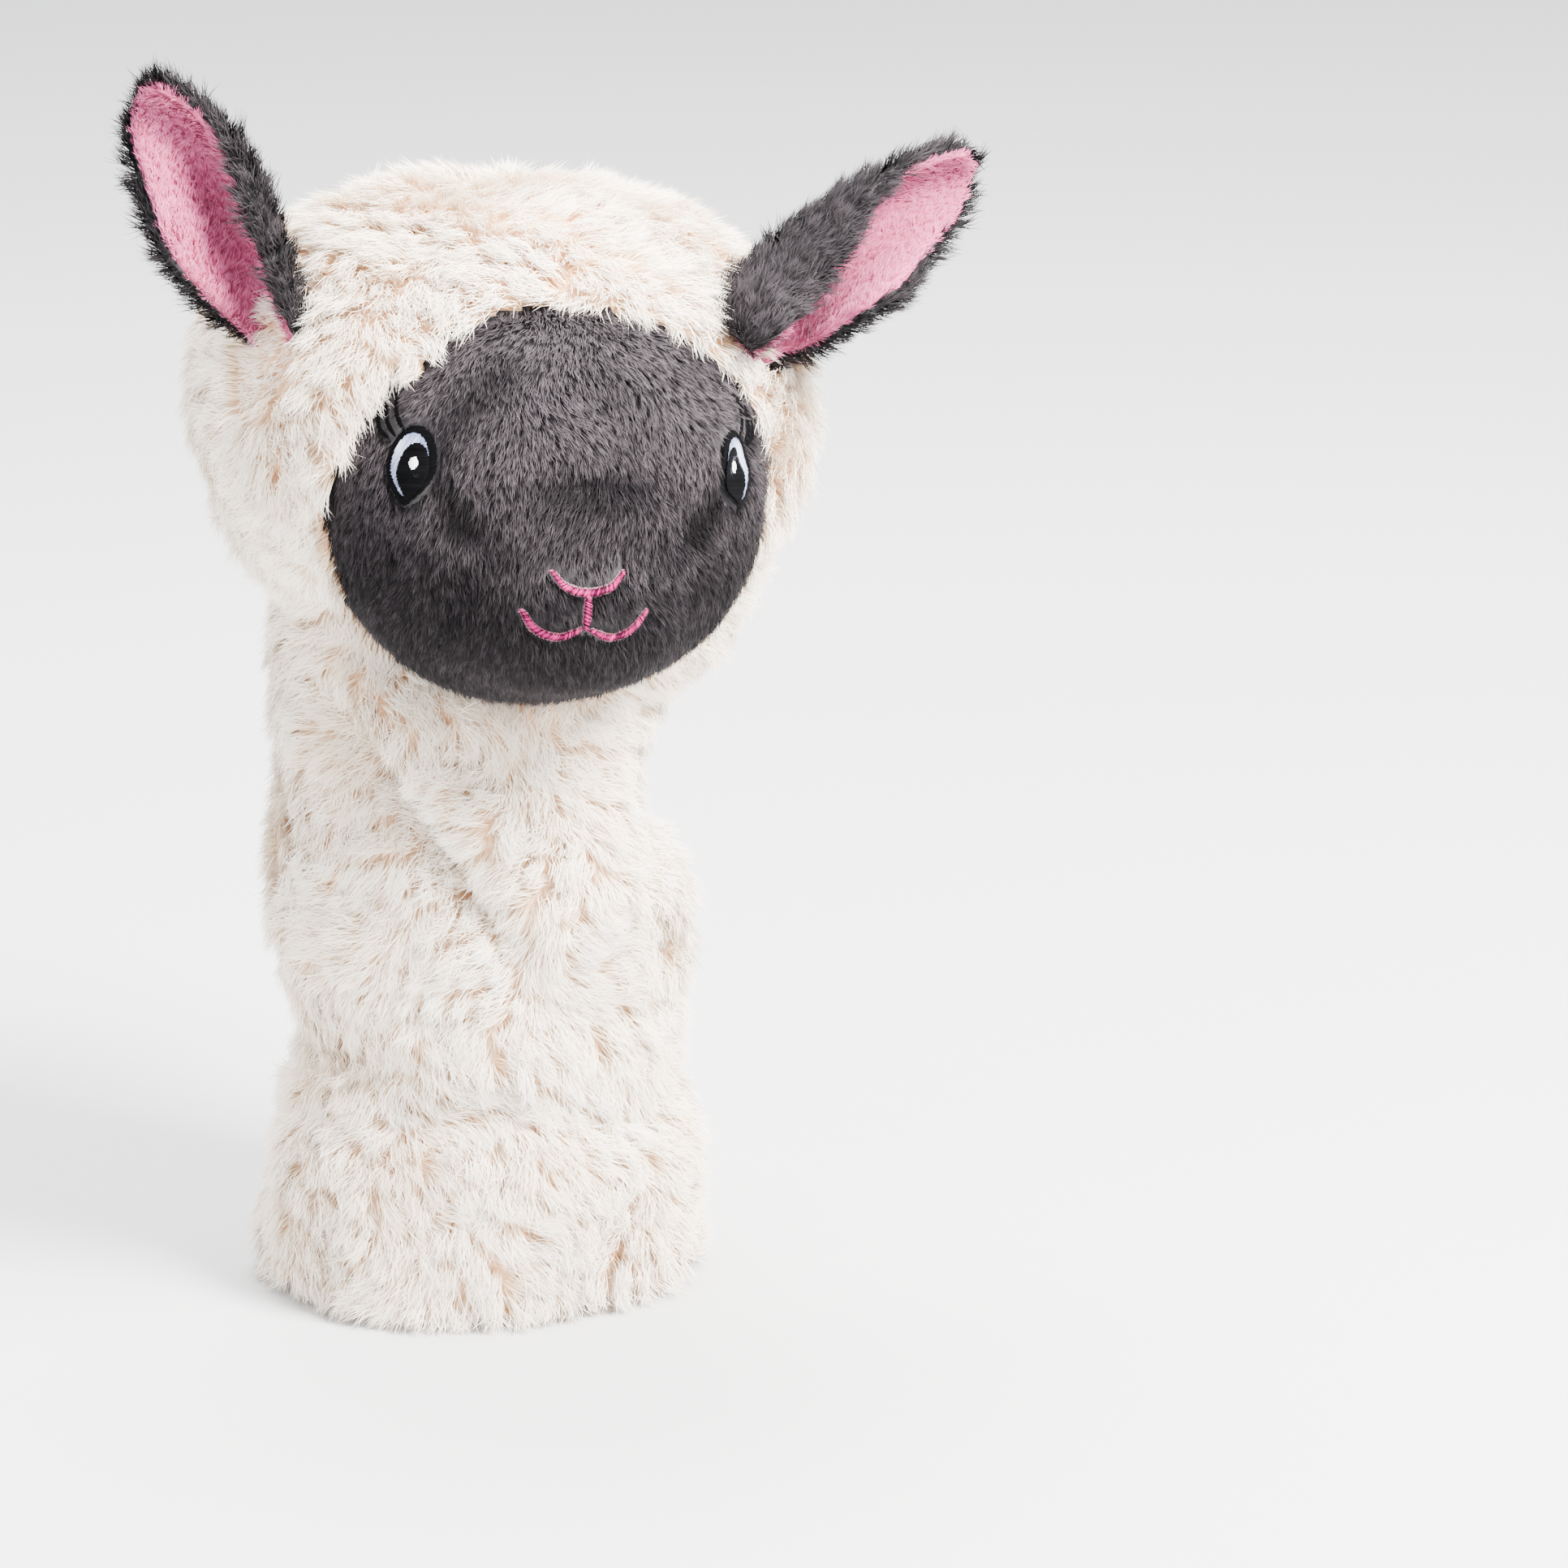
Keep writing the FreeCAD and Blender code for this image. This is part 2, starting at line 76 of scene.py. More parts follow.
# The skin lies this far below the tips of its fur. The sleeve's skin ends above the floor by HEM_GAP.
CREAM_INSET, FACE_INSET = 6.5 * MM, 2.6 * MM
HEM_GAP = 4 * MM
EYE_SIDE, EYE_HEIGHT, EYE_TURN = 0.0415, 0.2335, math.radians(48)
EYE_WIDE, EYE_TALL = 0.0125, 0.019
EAR_LONG = 0.066
# Each ear: its side, its base in the head's frame, lean and turn of its cup in degrees, wrap of its
# section in degrees, height of its fold in mm, and how far its base is spread.
EARS = {
    "left": (-1, (-0.0657, -0.0379, 0.258), 29.5, 48.7, 80, 15, 1.0),
    "right": (1, (0.0492, -0.0486, 0.2692), 54.8, 42, 88, 9, 1.8),
}
# The camera stands this far round to the viewer's left of the face, this far up and this far off.
VIEW_TURN, VIEW_LIFT, VIEW_DISTANCE = math.radians(-17), math.radians(17), 1.6
# How far the view reaches from side to side at the cover, and where it aims: right, up and ahead.
VIEW_WIDE = 0.390
VIEW_AIM = (0.076, 0.1246, -0.085)

HEAD_POSE = (Matrix.Translation((HEAD_SHIFT, 0, ROLL_PIVOT)) @ Matrix.Rotation(HEAD_ROLL, 4, "Y")
             @ Matrix.Translation((0, 0, -ROLL_PIVOT)))


# ---- small helpers ----

def unit(v):
    return v / np.maximum(np.linalg.norm(v, axis=-1, keepdims=True), 1e-12)


def posed(points, pose=HEAD_POSE):
    m = np.array(pose)
    return points @ m[:3, :3].T + m[:3, 3]


def unposed(points):
    return posed(points, HEAD_POSE.inverted())


def smooth_step(x, low, high):
    t = np.clip((x - low) / (high - low), 0, 1)
    return t * t * (3 - 2 * t)


def wave(points, scale, seed):
    """A smooth random field, about -1 to 1, from a few sine waves of wavelength near scale."""
    rng = np.random.default_rng(seed)
    total = np.zeros(len(points))
    for _ in range(7):
        direction = unit(rng.normal(size=3)) * 2 * math.pi / scale * rng.uniform(0.6, 1.5)
        total += np.sin(points @ direction + rng.uniform(0, 2 * math.pi))
    return total / 3.0


def placed(name, data):
    """A new object in the scene that shows the mesh, light or camera."""
    thing = bpy.data.objects.new(name, data)
    bpy.context.scene.collection.objects.link(thing)
    return thing


def new_object(name, vertices, faces, material, body=None):
    """A smooth mesh object. It rides on the body, if one is named."""
    mesh = bpy.data.meshes.new(name)
    mesh.from_pydata(vertices, [], faces)
    mesh.update()
    mesh.polygons.foreach_set("use_smooth", [True] * len(mesh.polygons))
    mesh.materials.append(material)
    thing = placed(name, mesh)
    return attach(thing, body) if body else thing


def unit_ring(turns):
    """The angles of points round a circle, and the points themselves."""
    angles = np.linspace(0, 2 * math.pi, turns, endpoint=False)
    return angles, np.stack([np.cos(angles), np.sin(angles), np.zeros(turns)], 1)


def ring_faces(rings, turns):
    """The faces between rings of points, with each ring turns points round."""
    grid = np.arange(rings * turns).reshape(rings, turns)
    after = np.roll(grid, -1, axis=1)
    return np.stack([grid[:-1], after[:-1], after[1:], grid[1:]], 2).reshape(-1, 4)


def thicken(sheet, thickness, offset):
    """Give a sheet its thickness, inward at offset -1 and outward at 1."""
    shell = sheet.modifiers.new("thickness", "SOLIDIFY")
    shell.thickness, shell.offset = thickness, offset


def distance_to(line, x, z):
    """How far each point (x, z) is from the nearest point of a line."""
    return np.hypot(x[:, None] - line[:, 0], z[:, None] - line[:, 1]).min(1)


def add_numbers(mesh, label, values):
    """Give the mesh a number at each point, for its material to read."""
    layer = mesh.attributes.new(label, "FLOAT", "POINT")
    layer.data.foreach_set("value", values.astype(np.float32))


# ---- materials ----

def node_material(name, roughness, **sockets):
    """A new material, its node tree and the socket of its colour."""
    material = bpy.data.materials.new(name)
    material.use_nodes = True
    shader = material.node_tree.nodes["Principled BSDF"]
    shader.inputs["Roughness"].default_value = roughness
    for socket, value in sockets.items():
        shader.inputs[socket.replace("_", " ")].default_value = value
    return material, material.node_tree, shader.inputs["Base Color"]


def ramp(tree, factor, stops):
    node = tree.nodes.new("ShaderNodeValToRGB")
    elements = node.color_ramp.elements
    while len(elements) < len(stops):
        elements.new(0.5)
    for element, (place, colour) in zip(elements, stops):
        element.position = place
        element.color = (*colour, 1)
    tree.links.new(factor, node.inputs["Fac"])
    return node.outputs["Color"]


def attribute(tree, name):
    node = tree.nodes.new("ShaderNodeAttribute")
    node.attribute_name = name
    return node.outputs["Fac"]


def mix(tree, factor, a, b):
    node = tree.nodes.new("ShaderNodeMix")
    node.data_type = "RGBA"
    for socket, value in ((node.inputs[0], factor), (node.inputs[6], a), (node.inputs[7], b)):
        if hasattr(value, "links"):
            tree.links.new(value, socket)
        elif hasattr(value, "__len__"):
            socket.default_value = (*value, 1)
        else:
            socket.default_value = value
    return node.outputs[2]


def noise(tree, scale):
    place = tree.nodes.new("ShaderNodeTexCoord")
    node = tree.nodes.new("ShaderNodeTexNoise")
    node.inputs["Scale"].default_value = scale
    node.inputs["Detail"].default_value = 3.0
    tree.links.new(place.outputs["Object"], node.inputs["Vector"])
    return node.outputs["Fac"]


def fur_material(name, stops, shade, shade_amount, patch_scale, sheen=0.3, gloss=0.25):
    """Pile coloured from root to tip, shaded by each strand's own tint and in broad patches."""
    material, tree, base = node_material(name, 0.75, Sheen_Weight=sheen, Sheen_Roughness=0.4,
                                         Specular_IOR_Level=gloss)
    along = ramp(tree, attribute(tree, "along"), stops)
    own = mix(tree, attribute(tree, "tint"), along, shade)
    patches = ramp(tree, noise(tree, patch_scale), [(0.38, (0, 0, 0)), (0.68, (1, 1, 1))])
    amount = tree.nodes.new("ShaderNodeMath")
    amount.operation = "MULTIPLY"
    amount.inputs[1].default_value = shade_amount
    tree.links.new(patches, amount.inputs[0])
    tree.links.new(mix(tree, amount.outputs[0], own, shade), base)
    return material


def backing_material(name, colour, other):
    material, tree, base = node_material(name, 0.9)
    tree.links.new(mix(tree, noise(tree, 220.0), colour, other), base)
    return material


def thread_material(name, colour, other, roughness=0.4, gloss=0.4):
    """Rayon thread, of the first colour where its tint is 0 and of the other where it is 1. Stitches take
    the first colour at their ends as painted shade and lean toward the other over their middles as a
    painted highlight.
    """
    material, tree, base = node_material(name, roughness, Specular_IOR_Level=gloss)
    tree.links.new(mix(tree, attribute(tree, "tint"), colour, other), base)
    return material


CREAM_FUR = fur_material(
    "cream_pile", [(0.0, (0.88, 0.43, 0.16)), (0.28, (0.95, 0.66, 0.38)), (0.52, (0.98, 0.88, 0.76)),
                   (0.8, (0.99, 0.975, 0.945))], (0.97, 0.80, 0.62), 0.48, 38.0)
# The grey pile's last colour is also its painted shade: the face's pile is mixed toward it under the
# muzzle and in the creases.
GREY_FUR = fur_material(
    "grey_pile", [(0.0, (0.003, 0.0025, 0.003)), (0.45, (0.022, 0.0185, 0.0205)),
                  (1.0, (0.190, 0.160, 0.175))], (0.0070, 0.0059, 0.0068), 0.4, 60.0, 0.03, 0.06)
# The ears' backs: the face's grey pile again, made darker as painted shade.
EAR_GREY_FUR_SHADED = fur_material(
    "ear_grey_pile_shaded", [(0.0, (0.004, 0.003, 0.004)), (0.5, (0.011, 0.009, 0.010)),
                      (1.0, (0.100, 0.083, 0.093))], (0.008, 0.007, 0.008), 0.4, 60.0, 0.03, 0.1)
PINK_FUR = fur_material(
    "pink_pile", [(0.0, (0.28, 0.02, 0.07)), (0.5, (0.54, 0.12, 0.24)), (1.0, (0.68, 0.205, 0.39))],
    (0.48, 0.07, 0.19), 0.4, 90.0, 0.1)
CREAM_BACK = backing_material("cream_backing", (0.86, 0.50, 0.26), (0.92, 0.66, 0.42))
GREY_BACK = backing_material("grey_backing", (0.020, 0.018, 0.020), (0.035, 0.031, 0.034))
PINK_BACK = backing_material("pink_backing", (0.40, 0.05, 0.13), (0.55, 0.12, 0.24))
# Each thread's first colour is painted shade at the ends of its stitches; its second is reached toward
# their middles, partly painted highlight and partly random tone.
BLACK_THREAD = thread_material("black_thread", (0.0006, 0.0006, 0.0008), (0.003, 0.003, 0.004), 0.6, 0.04)
SILVER_THREAD = thread_material("silver_thread", (0.12, 0.14, 0.24), (0.74, 0.78, 0.95))
WHITE_THREAD = thread_material("white_thread", (0.84, 0.84, 0.88), (0.95, 0.95, 0.96))
PINK_THREAD = thread_material("pink_thread", (0.010, 0.0001, 0.003), (0.60, 0.035, 0.210), 0.5, 0.03)
PALE_THREAD = thread_material("pale_edge_thread", (0.10, 0.02, 0.035), (0.36, 0.14, 0.19))
LINING = backing_material("lining_knit", (0.10, 0.10, 0.11), (0.16, 0.16, 0.17))
ELASTIC = backing_material("elastic_band", (0.70, 0.70, 0.68), (0.82, 0.82, 0.80))
WADDING = backing_material("fibre_fill", (0.80, 0.80, 0.78), (0.90, 0.90, 0.88))


# ---- the body form: head, face, muzzle and sleeve joined into one skin ----

def egg(centre, radii, inset, square=2.0, low=1.0, taper=0.0):
    """A ball stretched to the radii; square above 2 makes it fuller towards its corners. Its lower
    half is shortened to low of its height, and narrows by taper."""
    bpy.ops.mesh.primitive_ico_sphere_add(subdivisions=6, radius=1)
    ball = bpy.context.object
    points = np.array([v.co for v in ball.data.vertices])
    points /= (np.abs(points) ** square).sum(1, keepdims=True) ** (1 / square)
    under = np.maximum(-points[:, 2], 0)
    points *= np.stack([1 - taper * under, 1 - taper * under, np.where(under > 0, low, 1)], 1)
    points = posed(points * (np.array(radii) - inset) + centre)
    ball.data.vertices.foreach_set("co", points.ravel())
    return ball


# Sleeve stations seen from the front: height, centre across, half width, half depth.
SLEEVE = np.array([
    (-0.020, -0.0022, 0.0585, 0.0525),
    (0.015, -0.0022, 0.0590, 0.0525),
    (0.045, -0.0020, 0.0575, 0.0510),
    (0.060, -0.0010, 0.0550, 0.0490),
    (0.085, -0.0010, 0.0555, 0.0490),
    (0.105, -0.0025, 0.0560, 0.0485),
    (0.135, -0.0065, 0.0535, 0.0465),
    (0.165, -0.0045, 0.0535, 0.0455),
    (0.215, -0.0030, 0.0515, 0.0440),
])


def tube(inset):
    """The sleeve as a closed tube, inset from the tips of its fur."""
    turns, rings = 96, 80
    heights = np.linspace(SLEEVE[0, 0], SLEEVE[-1, 0], rings)
    across, wide, deep = (np.interp(heights, SLEEVE[:, 0], SLEEVE[:, k]) for k in (1, 2, 3))
    _, ring = unit_ring(turns)
    points = [(c + (a - inset) * x, (b - inset) * y, z)
              for z, c, a, b in zip(heights, across, wide, deep) for x, y, _ in ring]
    last = (rings - 1) * turns
    caps = [list(range(turns))[::-1], list(range(last, last + turns))]
    mesh = bpy.data.meshes.new("tube")
    mesh.from_pydata(points, [], ring_faces(rings, turns).tolist() + caps)
    return placed("tube", mesh)


def skin_mesh():
    """The points and faces of one closed skin around the whole body, the ears apart."""
    parts = [egg(*HEAD, CREAM_INSET, square=2.35, low=0.84, taper=0.17),
             egg(*FACE, FACE_INSET, square=2.1), egg(*MUZZLE, FACE_INSET), tube(CREAM_INSET)]
    parts += [egg(*jowl, CREAM_INSET) for jowl in JOWLS]
    for part in bpy.context.scene.objects:
        part.select_set(part in parts)
    bpy.context.view_layer.objects.active = parts[0]
    bpy.ops.object.join()
    whole = parts[0]
    remesh = whole.modifiers.new("remesh", "REMESH")
    remesh.mode = "VOXEL"
    remesh.voxel_size = 1.7 * MM
    result = whole.evaluated_get(bpy.context.evaluated_depsgraph_get()).to_mesh()
    points = np.empty(len(result.vertices) * 3)
    result.vertices.foreach_get("co", points)
    faces = [tuple(p.vertices) for p in result.polygons]
    mesh = whole.data
    bpy.data.objects.remove(whole)
    bpy.data.meshes.remove(mesh)
    return points.reshape(-1, 3), np.array([f if len(f) == 4 else (*f, f[-1]) for f in faces])


def relax(points, faces, rounds):
    """Laplacian smoothing over the mesh's edges."""
    edges = np.concatenate([faces[:, [k, (k + 1) % 4]] for k in range(4)])
    edges = edges[edges[:, 0] != edges[:, 1]]
    both = np.concatenate([edges, edges[:, ::-1]])
    count = np.bincount(both[:, 0], minlength=len(points))[:, None]
    for _ in range(rounds):
        total = np.zeros_like(points)
        np.add.at(total, both[:, 0], points[both[:, 1]])
        points = points + 0.5 * (total / count - points)
    return points


def vertex_normals(points, faces):
    """The way out of the mesh at each point, from the faces round it."""
    cross = np.cross(points[faces[:, 2]] - points[faces[:, 0]], points[faces[:, 3]] - points[faces[:, 1]])
    normals = np.zeros_like(points)
    for k in range(4):
        np.add.at(normals, faces[:, k], cross)
    return unit(normals)


# The grey face's outline: half its width, its reach above and below FACE's centre, the shift of its
# chin to the right, how full its corners are, and how far ahead of the head's middle it ends.
FACE_HALF, FACE_ABOVE, FACE_BELOW = 0.0550, 0.0485, 0.0550
CHIN_SHIFT, FACE_FULL, FACE_REAR = 0.0015, 2.1, 0.010


def on_face(points):
    """How far each point is inside the grey face's outline: positive on the face, about in metres."""
    local = unposed(points)
    x, y, z = local.T
    middle = FACE[0][2]
    up = (z - middle) / np.where(z > middle, FACE_ABOVE, FACE_BELOW)
    chin = CHIN_SHIFT * smooth_step(-up, 0, 0.5)
    across = np.abs(x - chin) / (FACE_HALF - chin)
    inside = (1 - (across ** FACE_FULL + np.abs(up) ** FACE_FULL)) * 0.026
    # the small notch where the left seam of the bridge meets the cream fur
    notch = 0.0045 * np.exp(-((x + 0.0375) / 0.003) ** 2) * smooth_step(z, 0.244, 0.252)
    nearest = np.min([np.linalg.norm((local - centre) / radii, axis=1)
                      for centre, radii in (FACE, MUZZLE)], axis=0)
    return np.min([inside - notch, -y - FACE_REAR, (1.02 - nearest) * 0.05], axis=0)


# Slack creases round the sleeve: height, depth in mm, spread, and where each rises round the sleeve.
SLEEVE_CREASES = ((0.062, 3.2, 0.008, 0.5), (0.138, 3.0, 0.011, 2.9), (0.108, -1.8, 0.012, 0.3),
                  (0.030, -1.4, 0.014, 1.7), (0.082, 1.6, 0.005, 4.1), (0.042, 1.4, 0.005, 3.3))
# Places where the sleeve is nipped in at a side: side, height, depth in mm and spread.
SLEEVE_NIPS = ((1, 0.128, 9.0, 0.015), (1, 0.052, 4.5, 0.007), (-1, 0.070, 4.5, 0.008))


def drape(points, normals):
    """Push the skin in and out: a slack, hand-sewn surface, and the sleeve's fold, creases and nips."""
    x, y, z = points.T
    move = wave(points, 0.055, 3) * 1.3 * MM + wave(points, 0.025, 4) * 0.5 * MM
    face = smooth_step(on_face(points), -0.002, 0.004)
    move *= 1 - 0.75 * face
    front = smooth_step(-y, 0.0, 0.03)
    # the large fold that hangs from the chin, its edge running down to the right
    edge = x - (-0.035 + (0.160 - z) * 0.60)
    tall = smooth_step(z, 0.088, 0.122) * (1 - smooth_step(z, 0.160, 0.178))
    fold = (smooth_step(edge, -0.002, 0.004) * np.exp(-np.maximum(edge, 0) / 0.030) * 8.5
            - np.exp(-((edge + 0.006) / 0.0065) ** 2) * 5.5)
    move += fold * MM * front * tall
    around = np.arctan2(y, x)
    for height, depth, spread, phase in SLEEVE_CREASES:
        line = height + 0.010 * np.sin(around + phase) + 0.004 * np.sin(3 * around + 2 * phase)
        strength = 0.6 + 0.4 * np.sin(2 * around + phase)
        move -= depth * MM * strength * np.exp(-((z - line) / spread) ** 2) * (1 - face)
    for side, height, depth, spread in SLEEVE_NIPS:
        move -= (depth * MM * smooth_step(side * x, 0.018, 0.044)
                 * np.exp(-((z - height - 0.1 * y) / spread) ** 2))
    # the head is a little flatter on its right side
    move -= 4.2 * MM * smooth_step(x, 0.045, 0.070) * np.exp(-((z - 0.228) / 0.030) ** 2) * (1 - face)
    return points + normals * move[:, None]


# Slack creases beside the bridge of the nose, as points across and up in the head's frame, in mm.
FACE_CREASES = (((-17, 258), (-25, 252), (-32.5, 244), (-34, 232), (-29, 221)),
                ((40, 236), (34, 226), (28, 219)))
# The height of the seam between the bridge and the muzzle, and how wide the creases are.
BRIDGE_FOOT, CREASE_WIDTH = 0.2335, 0.0040


def bridge_half(z):
    """Half the width of the face's middle panels, at a height in the head's frame."""
    return 0.025 + np.clip(z - 0.230, 0, 0.05) * 0.34 + np.clip(0.230 - z, 0, 0.07) * 0.12


def creases(points, drop=0.0):
    """How near each point is, up to 1, to the bridge's two sides, to the crease across above the
    muzzle, taken drop lower, and to the slack creases."""
    x, _, z = unposed(points).T
    side = np.exp(-((np.abs(x) - bridge_half(z)) / 0.0030) ** 2) * smooth_step(z, 0.185, 0.210)
    across = (np.exp(-((z + drop - BRIDGE_FOOT + 0.0008 * (x / 0.01) ** 2) / CREASE_WIDTH) ** 2)
              * (1 - smooth_step(np.abs(x), 0.004, 0.026)))
    gap = np.full(len(points), 1.0)
    for crease in FACE_CREASES:
        line = sampled(np.array(crease) * MM)
        near = np.abs(x - line[:, 0].mean()) < 0.03
        gap[near] = np.minimum(gap[near], distance_to(line, x[near], z[near]))
    return side, across, np.exp(-(gap / CREASE_WIDTH) ** 2)


def seam_grooves(points, normals):
    """Sink the face along its seams, its slack creases and its border."""
    side, across, slack = creases(points)
    inside = on_face(points)
    face = smooth_step(inside, 0.0, 0.004)
    border = np.exp(-(inside / 0.0018) ** 2)
    sink = (0.9 * side + 1.9 * across + 2.1 * slack) * face + 1.3 * border
    return points - normals * (sink * MM)[:, None]


# Half the width of the gusset over the crown, and the height of the seam between head and sleeve.
GUSSET_HALF, NECK_SEAM = 0.024, 0.180


def region_names(centres):
    """The panel that each face of the skin belongs to."""
    x, y, z = unposed(centres).T
    names = np.empty(len(centres), dtype=object)
    head_line = NECK_SEAM + 0.10 * np.clip(y + 0.01, -0.02, 0.05)
    names[:] = np.where(y < 0, "sleeve_front_panel", "sleeve_back_panel")
    head = z > head_line
    names[head] = np.where(x[head] < -GUSSET_HALF, "head_left_panel",
                           np.where(x[head] > GUSSET_HALF, "head_right_panel", "head_crown_gusset"))
    names[(z <= head_line) & (z > head_line - 0.010) & (y < -0.01)] = "head_throat_panel"
    face = on_face(centres) > 0
    middle = bridge_half(z)
    names[face] = np.where(x[face] < 0, "face_left_cheek_panel", "face_right_cheek_panel")
    names[face & (np.abs(x) < middle)] = "face_muzzle_panel"
    names[face & (np.abs(x) < middle) & (z > BRIDGE_FOOT)] = "face_bridge_panel"
    return names


# ---- fur ----

def plant(points, faces, density, rng):
    """Roots spread evenly over the faces, and the surface normal at each."""
    normals = vertex_normals(points, faces)
    triangles = np.concatenate([faces[:, [0, 1, 2]], faces[:, [0, 2, 3]]])
    a, b, c = (points[triangles[:, k]] for k in range(3))
    areas = np.linalg.norm(np.cross(b - a, c - a), axis=1) / 2
    count = int(areas.sum() * density)
    chosen = np.searchsorted(np.cumsum(areas), rng.random(count) * areas.sum())
    chosen = np.minimum(chosen, len(areas) - 1)
    u, v = rng.random(count), rng.random(count)
    flip = u + v > 1
    u[flip], v[flip] = 1 - u[flip], 1 - v[flip]
    shares = np.stack([u, v, 1 - u - v], 1)[:, :, None]
    corners = triangles[chosen]
    return (points[corners] * shares).sum(1), unit((normals[corners] * shares).sum(1))


def flat_on(normals, direction):
    return unit(direction - (direction * normals).sum(1, keepdims=True) * normals)


def turned(direction, normals, angle):
    return direction * np.cos(angle)[:, None] + np.cross(normals, direction) * np.sin(angle)[:, None]


SHARES = np.array([0.0, 0.5, 1.0])


def grow(roots, normals, flow, pile, rng):
    """Each strand's path at SHARES of its length. Strands lean together in tufts, and each tuft has
    its own way, length and rise. pile holds the sizes of one kind of fur."""
    count = len(roots)
    tufts = max(8, int(count / pile["density"] / pile["tuft"] ** 2))
    centres = rng.choice(count, min(tufts, count), replace=False)
    tree = KDTree(len(centres))
    for index, centre in enumerate(centres):
        tree.insert(roots[centre], index)
    tree.balance()
    owner = np.array([tree.find(root)[1] for root in roots])
    way = rng.normal(size=len(centres)) * pile["tuft_turn"]
    rise = rng.normal(size=len(centres)) * pile["tuft_rise"]
    grown = 1 + rng.uniform(-1, 1, len(centres)) * pile["tuft_length"]
    length = pile["length"] * grown[owner] * rng.uniform(0.75, 1.15, count)
    flow = turned(flow, normals, way[owner] + rng.normal(size=count) * pile["stray"])
    sway = rng.normal(size=count) * pile["stray"]
    low, high = pile["lift"]
    path = [roots]
    for start, end in zip(SHARES, SHARES[1:]):
        angle = low + (high - low) * (start + end) / 2 + rise[owner] + 0.12 * rng.normal(size=count)
        bent = turned(flow, normals, sway * (start + end))
        step = np.cos(angle)[:, None] * bent + np.sin(angle)[:, None] * normals
        path.append(path[-1] + step * (length * (end - start))[:, None])
    toward = roots[centres[owner]] - roots
    toward -= (toward * normals).sum(1, keepdims=True) * normals
    pull = pile["gather"] * rng.uniform(0.6, 1.1, count)
    path = [p + toward * (pull * share ** 1.3)[:, None] for p, share in zip(path, SHARES)]
    tint = 0.35 * rng.random(count) + 0.3 * rng.random(len(centres))[owner]
    return path, tint


def pile_object(name, path, normals, tint, pile, material, rng):
    """One mesh of flat, tapered strands, a quad and a pointed tip each."""
    count = len(tint)
    along = unit(path[2] - path[0])
    side = unit(np.cross(along, normals))
    twist = rng.normal(size=count) * 0.5
    side = side * np.cos(twist)[:, None] + np.cross(side, along) * np.sin(twist)[:, None]
    half = side * (pile["width"] * rng.uniform(0.7, 1.3, count)[:, None] / 2)
    points = np.stack([path[0] - half, path[0] + half, path[1] - half * 0.8, path[1] + half * 0.8,
                       path[2]], 1).reshape(-1, 3)
    if "floor" in pile:
        low = np.maximum(pile["floor"] - points[:, 2], 0)
        points += unit(points * (1, 1, 0)) * (low * 0.8)[:, None]
        points[:, 2] += low
    mesh = bpy.data.meshes.new(name)
    mesh.vertices.add(count * 5)
    mesh.vertices.foreach_set("co", points.astype(np.float32).ravel())
    mesh.loops.add(count * 7)
    loops = np.arange(count)[:, None] * 5 + np.array([0, 1, 3, 2, 2, 3, 4])
    mesh.loops.foreach_set("vertex_index", loops.astype(np.int32).ravel())
    mesh.polygons.add(count * 2)
    starts = np.arange(count)[:, None] * 7 + np.array([0, 4])
    mesh.polygons.foreach_set("loop_start", starts.astype(np.int32).ravel())
    mesh.polygons.foreach_set("use_smooth", np.ones(count * 2, dtype=bool))
    mesh.update(calc_edges=True)
    add_numbers(mesh, "along", np.tile([0, 0, 0.5, 0.5, 1.0], count))
    add_numbers(mesh, "tint", np.repeat(tint, 5))
    facing = np.cross(side, along)
    facing *= np.sign((facing * normals).sum(1, keepdims=True))
    soft = unit(facing * 0.45 + normals * 0.55)
    mesh.normals_split_custom_set_from_vertices(np.repeat(soft, 5, axis=0))
    mesh.materials.append(material)
    return placed(name, mesh)


def furred(name, points, faces, flow, pile, material, seed, keep=lambda path: slice(None), painted_shade=None):
    """Piles of strands grown from the faces. flow(roots, normals) combs them, keep(path) trims them
    and says which stay, and the last argument, a function of (roots, normals), adds painted shade to their
    tint."""
    rng = np.random.default_rng(seed)
    roots, normals = plant(points, faces, pile["density"], rng)
    path, tint = grow(roots, normals, flow(roots, normals), pile, rng)
    # Painted shade: the face's pile is darkened under the muzzle and in its creases.
    if painted_shade:
        tint += painted_shade(roots, normals)
    kept = keep(path)
    path, normals, tint = [p[kept] for p in path], normals[kept], tint[kept]
    count = math.ceil(len(tint) / 60000)
    return [pile_object(f"{name}_{k + 1}", [p[k::count] for p in path], normals[k::count], tint[k::count],
                        pile, material, rng) for k in range(count)]


CREAM_PILE = dict(density=3.3e6, length=9.2 * MM, width=0.28 * MM, lift=(1.2, 0.1),
                  tuft=4.6 * MM, gather=0.62, tuft_turn=0.38, tuft_rise=0.15,
                  tuft_length=0.15, stray=0.2, floor=0.4 * MM)
GREY_PILE = dict(density=5.0e6, length=4.8 * MM, width=0.23 * MM, lift=(0.62, 0.12),
                 tuft=1.1 * MM, gather=0.55, tuft_turn=0.15, tuft_rise=0.10,
                 tuft_length=0.18, stray=0.10)
EAR_GREY_PILE = dict(density=4.6e6, length=6.4 * MM, width=0.28 * MM, lift=(0.85, 0.25),
                     tuft=2.6 * MM, gather=0.6, tuft_turn=0.25, tuft_rise=0.16,
                     tuft_length=0.3, stray=0.22)
EAR_PINK_PILE = dict(density=7.0e6, length=2.6 * MM, width=0.22 * MM, lift=(0.85, 0.3),
                     tuft=1.7 * MM, gather=0.5, tuft_turn=0.3, tuft_rise=0.15,
                     tuft_length=0.2, stray=0.22)


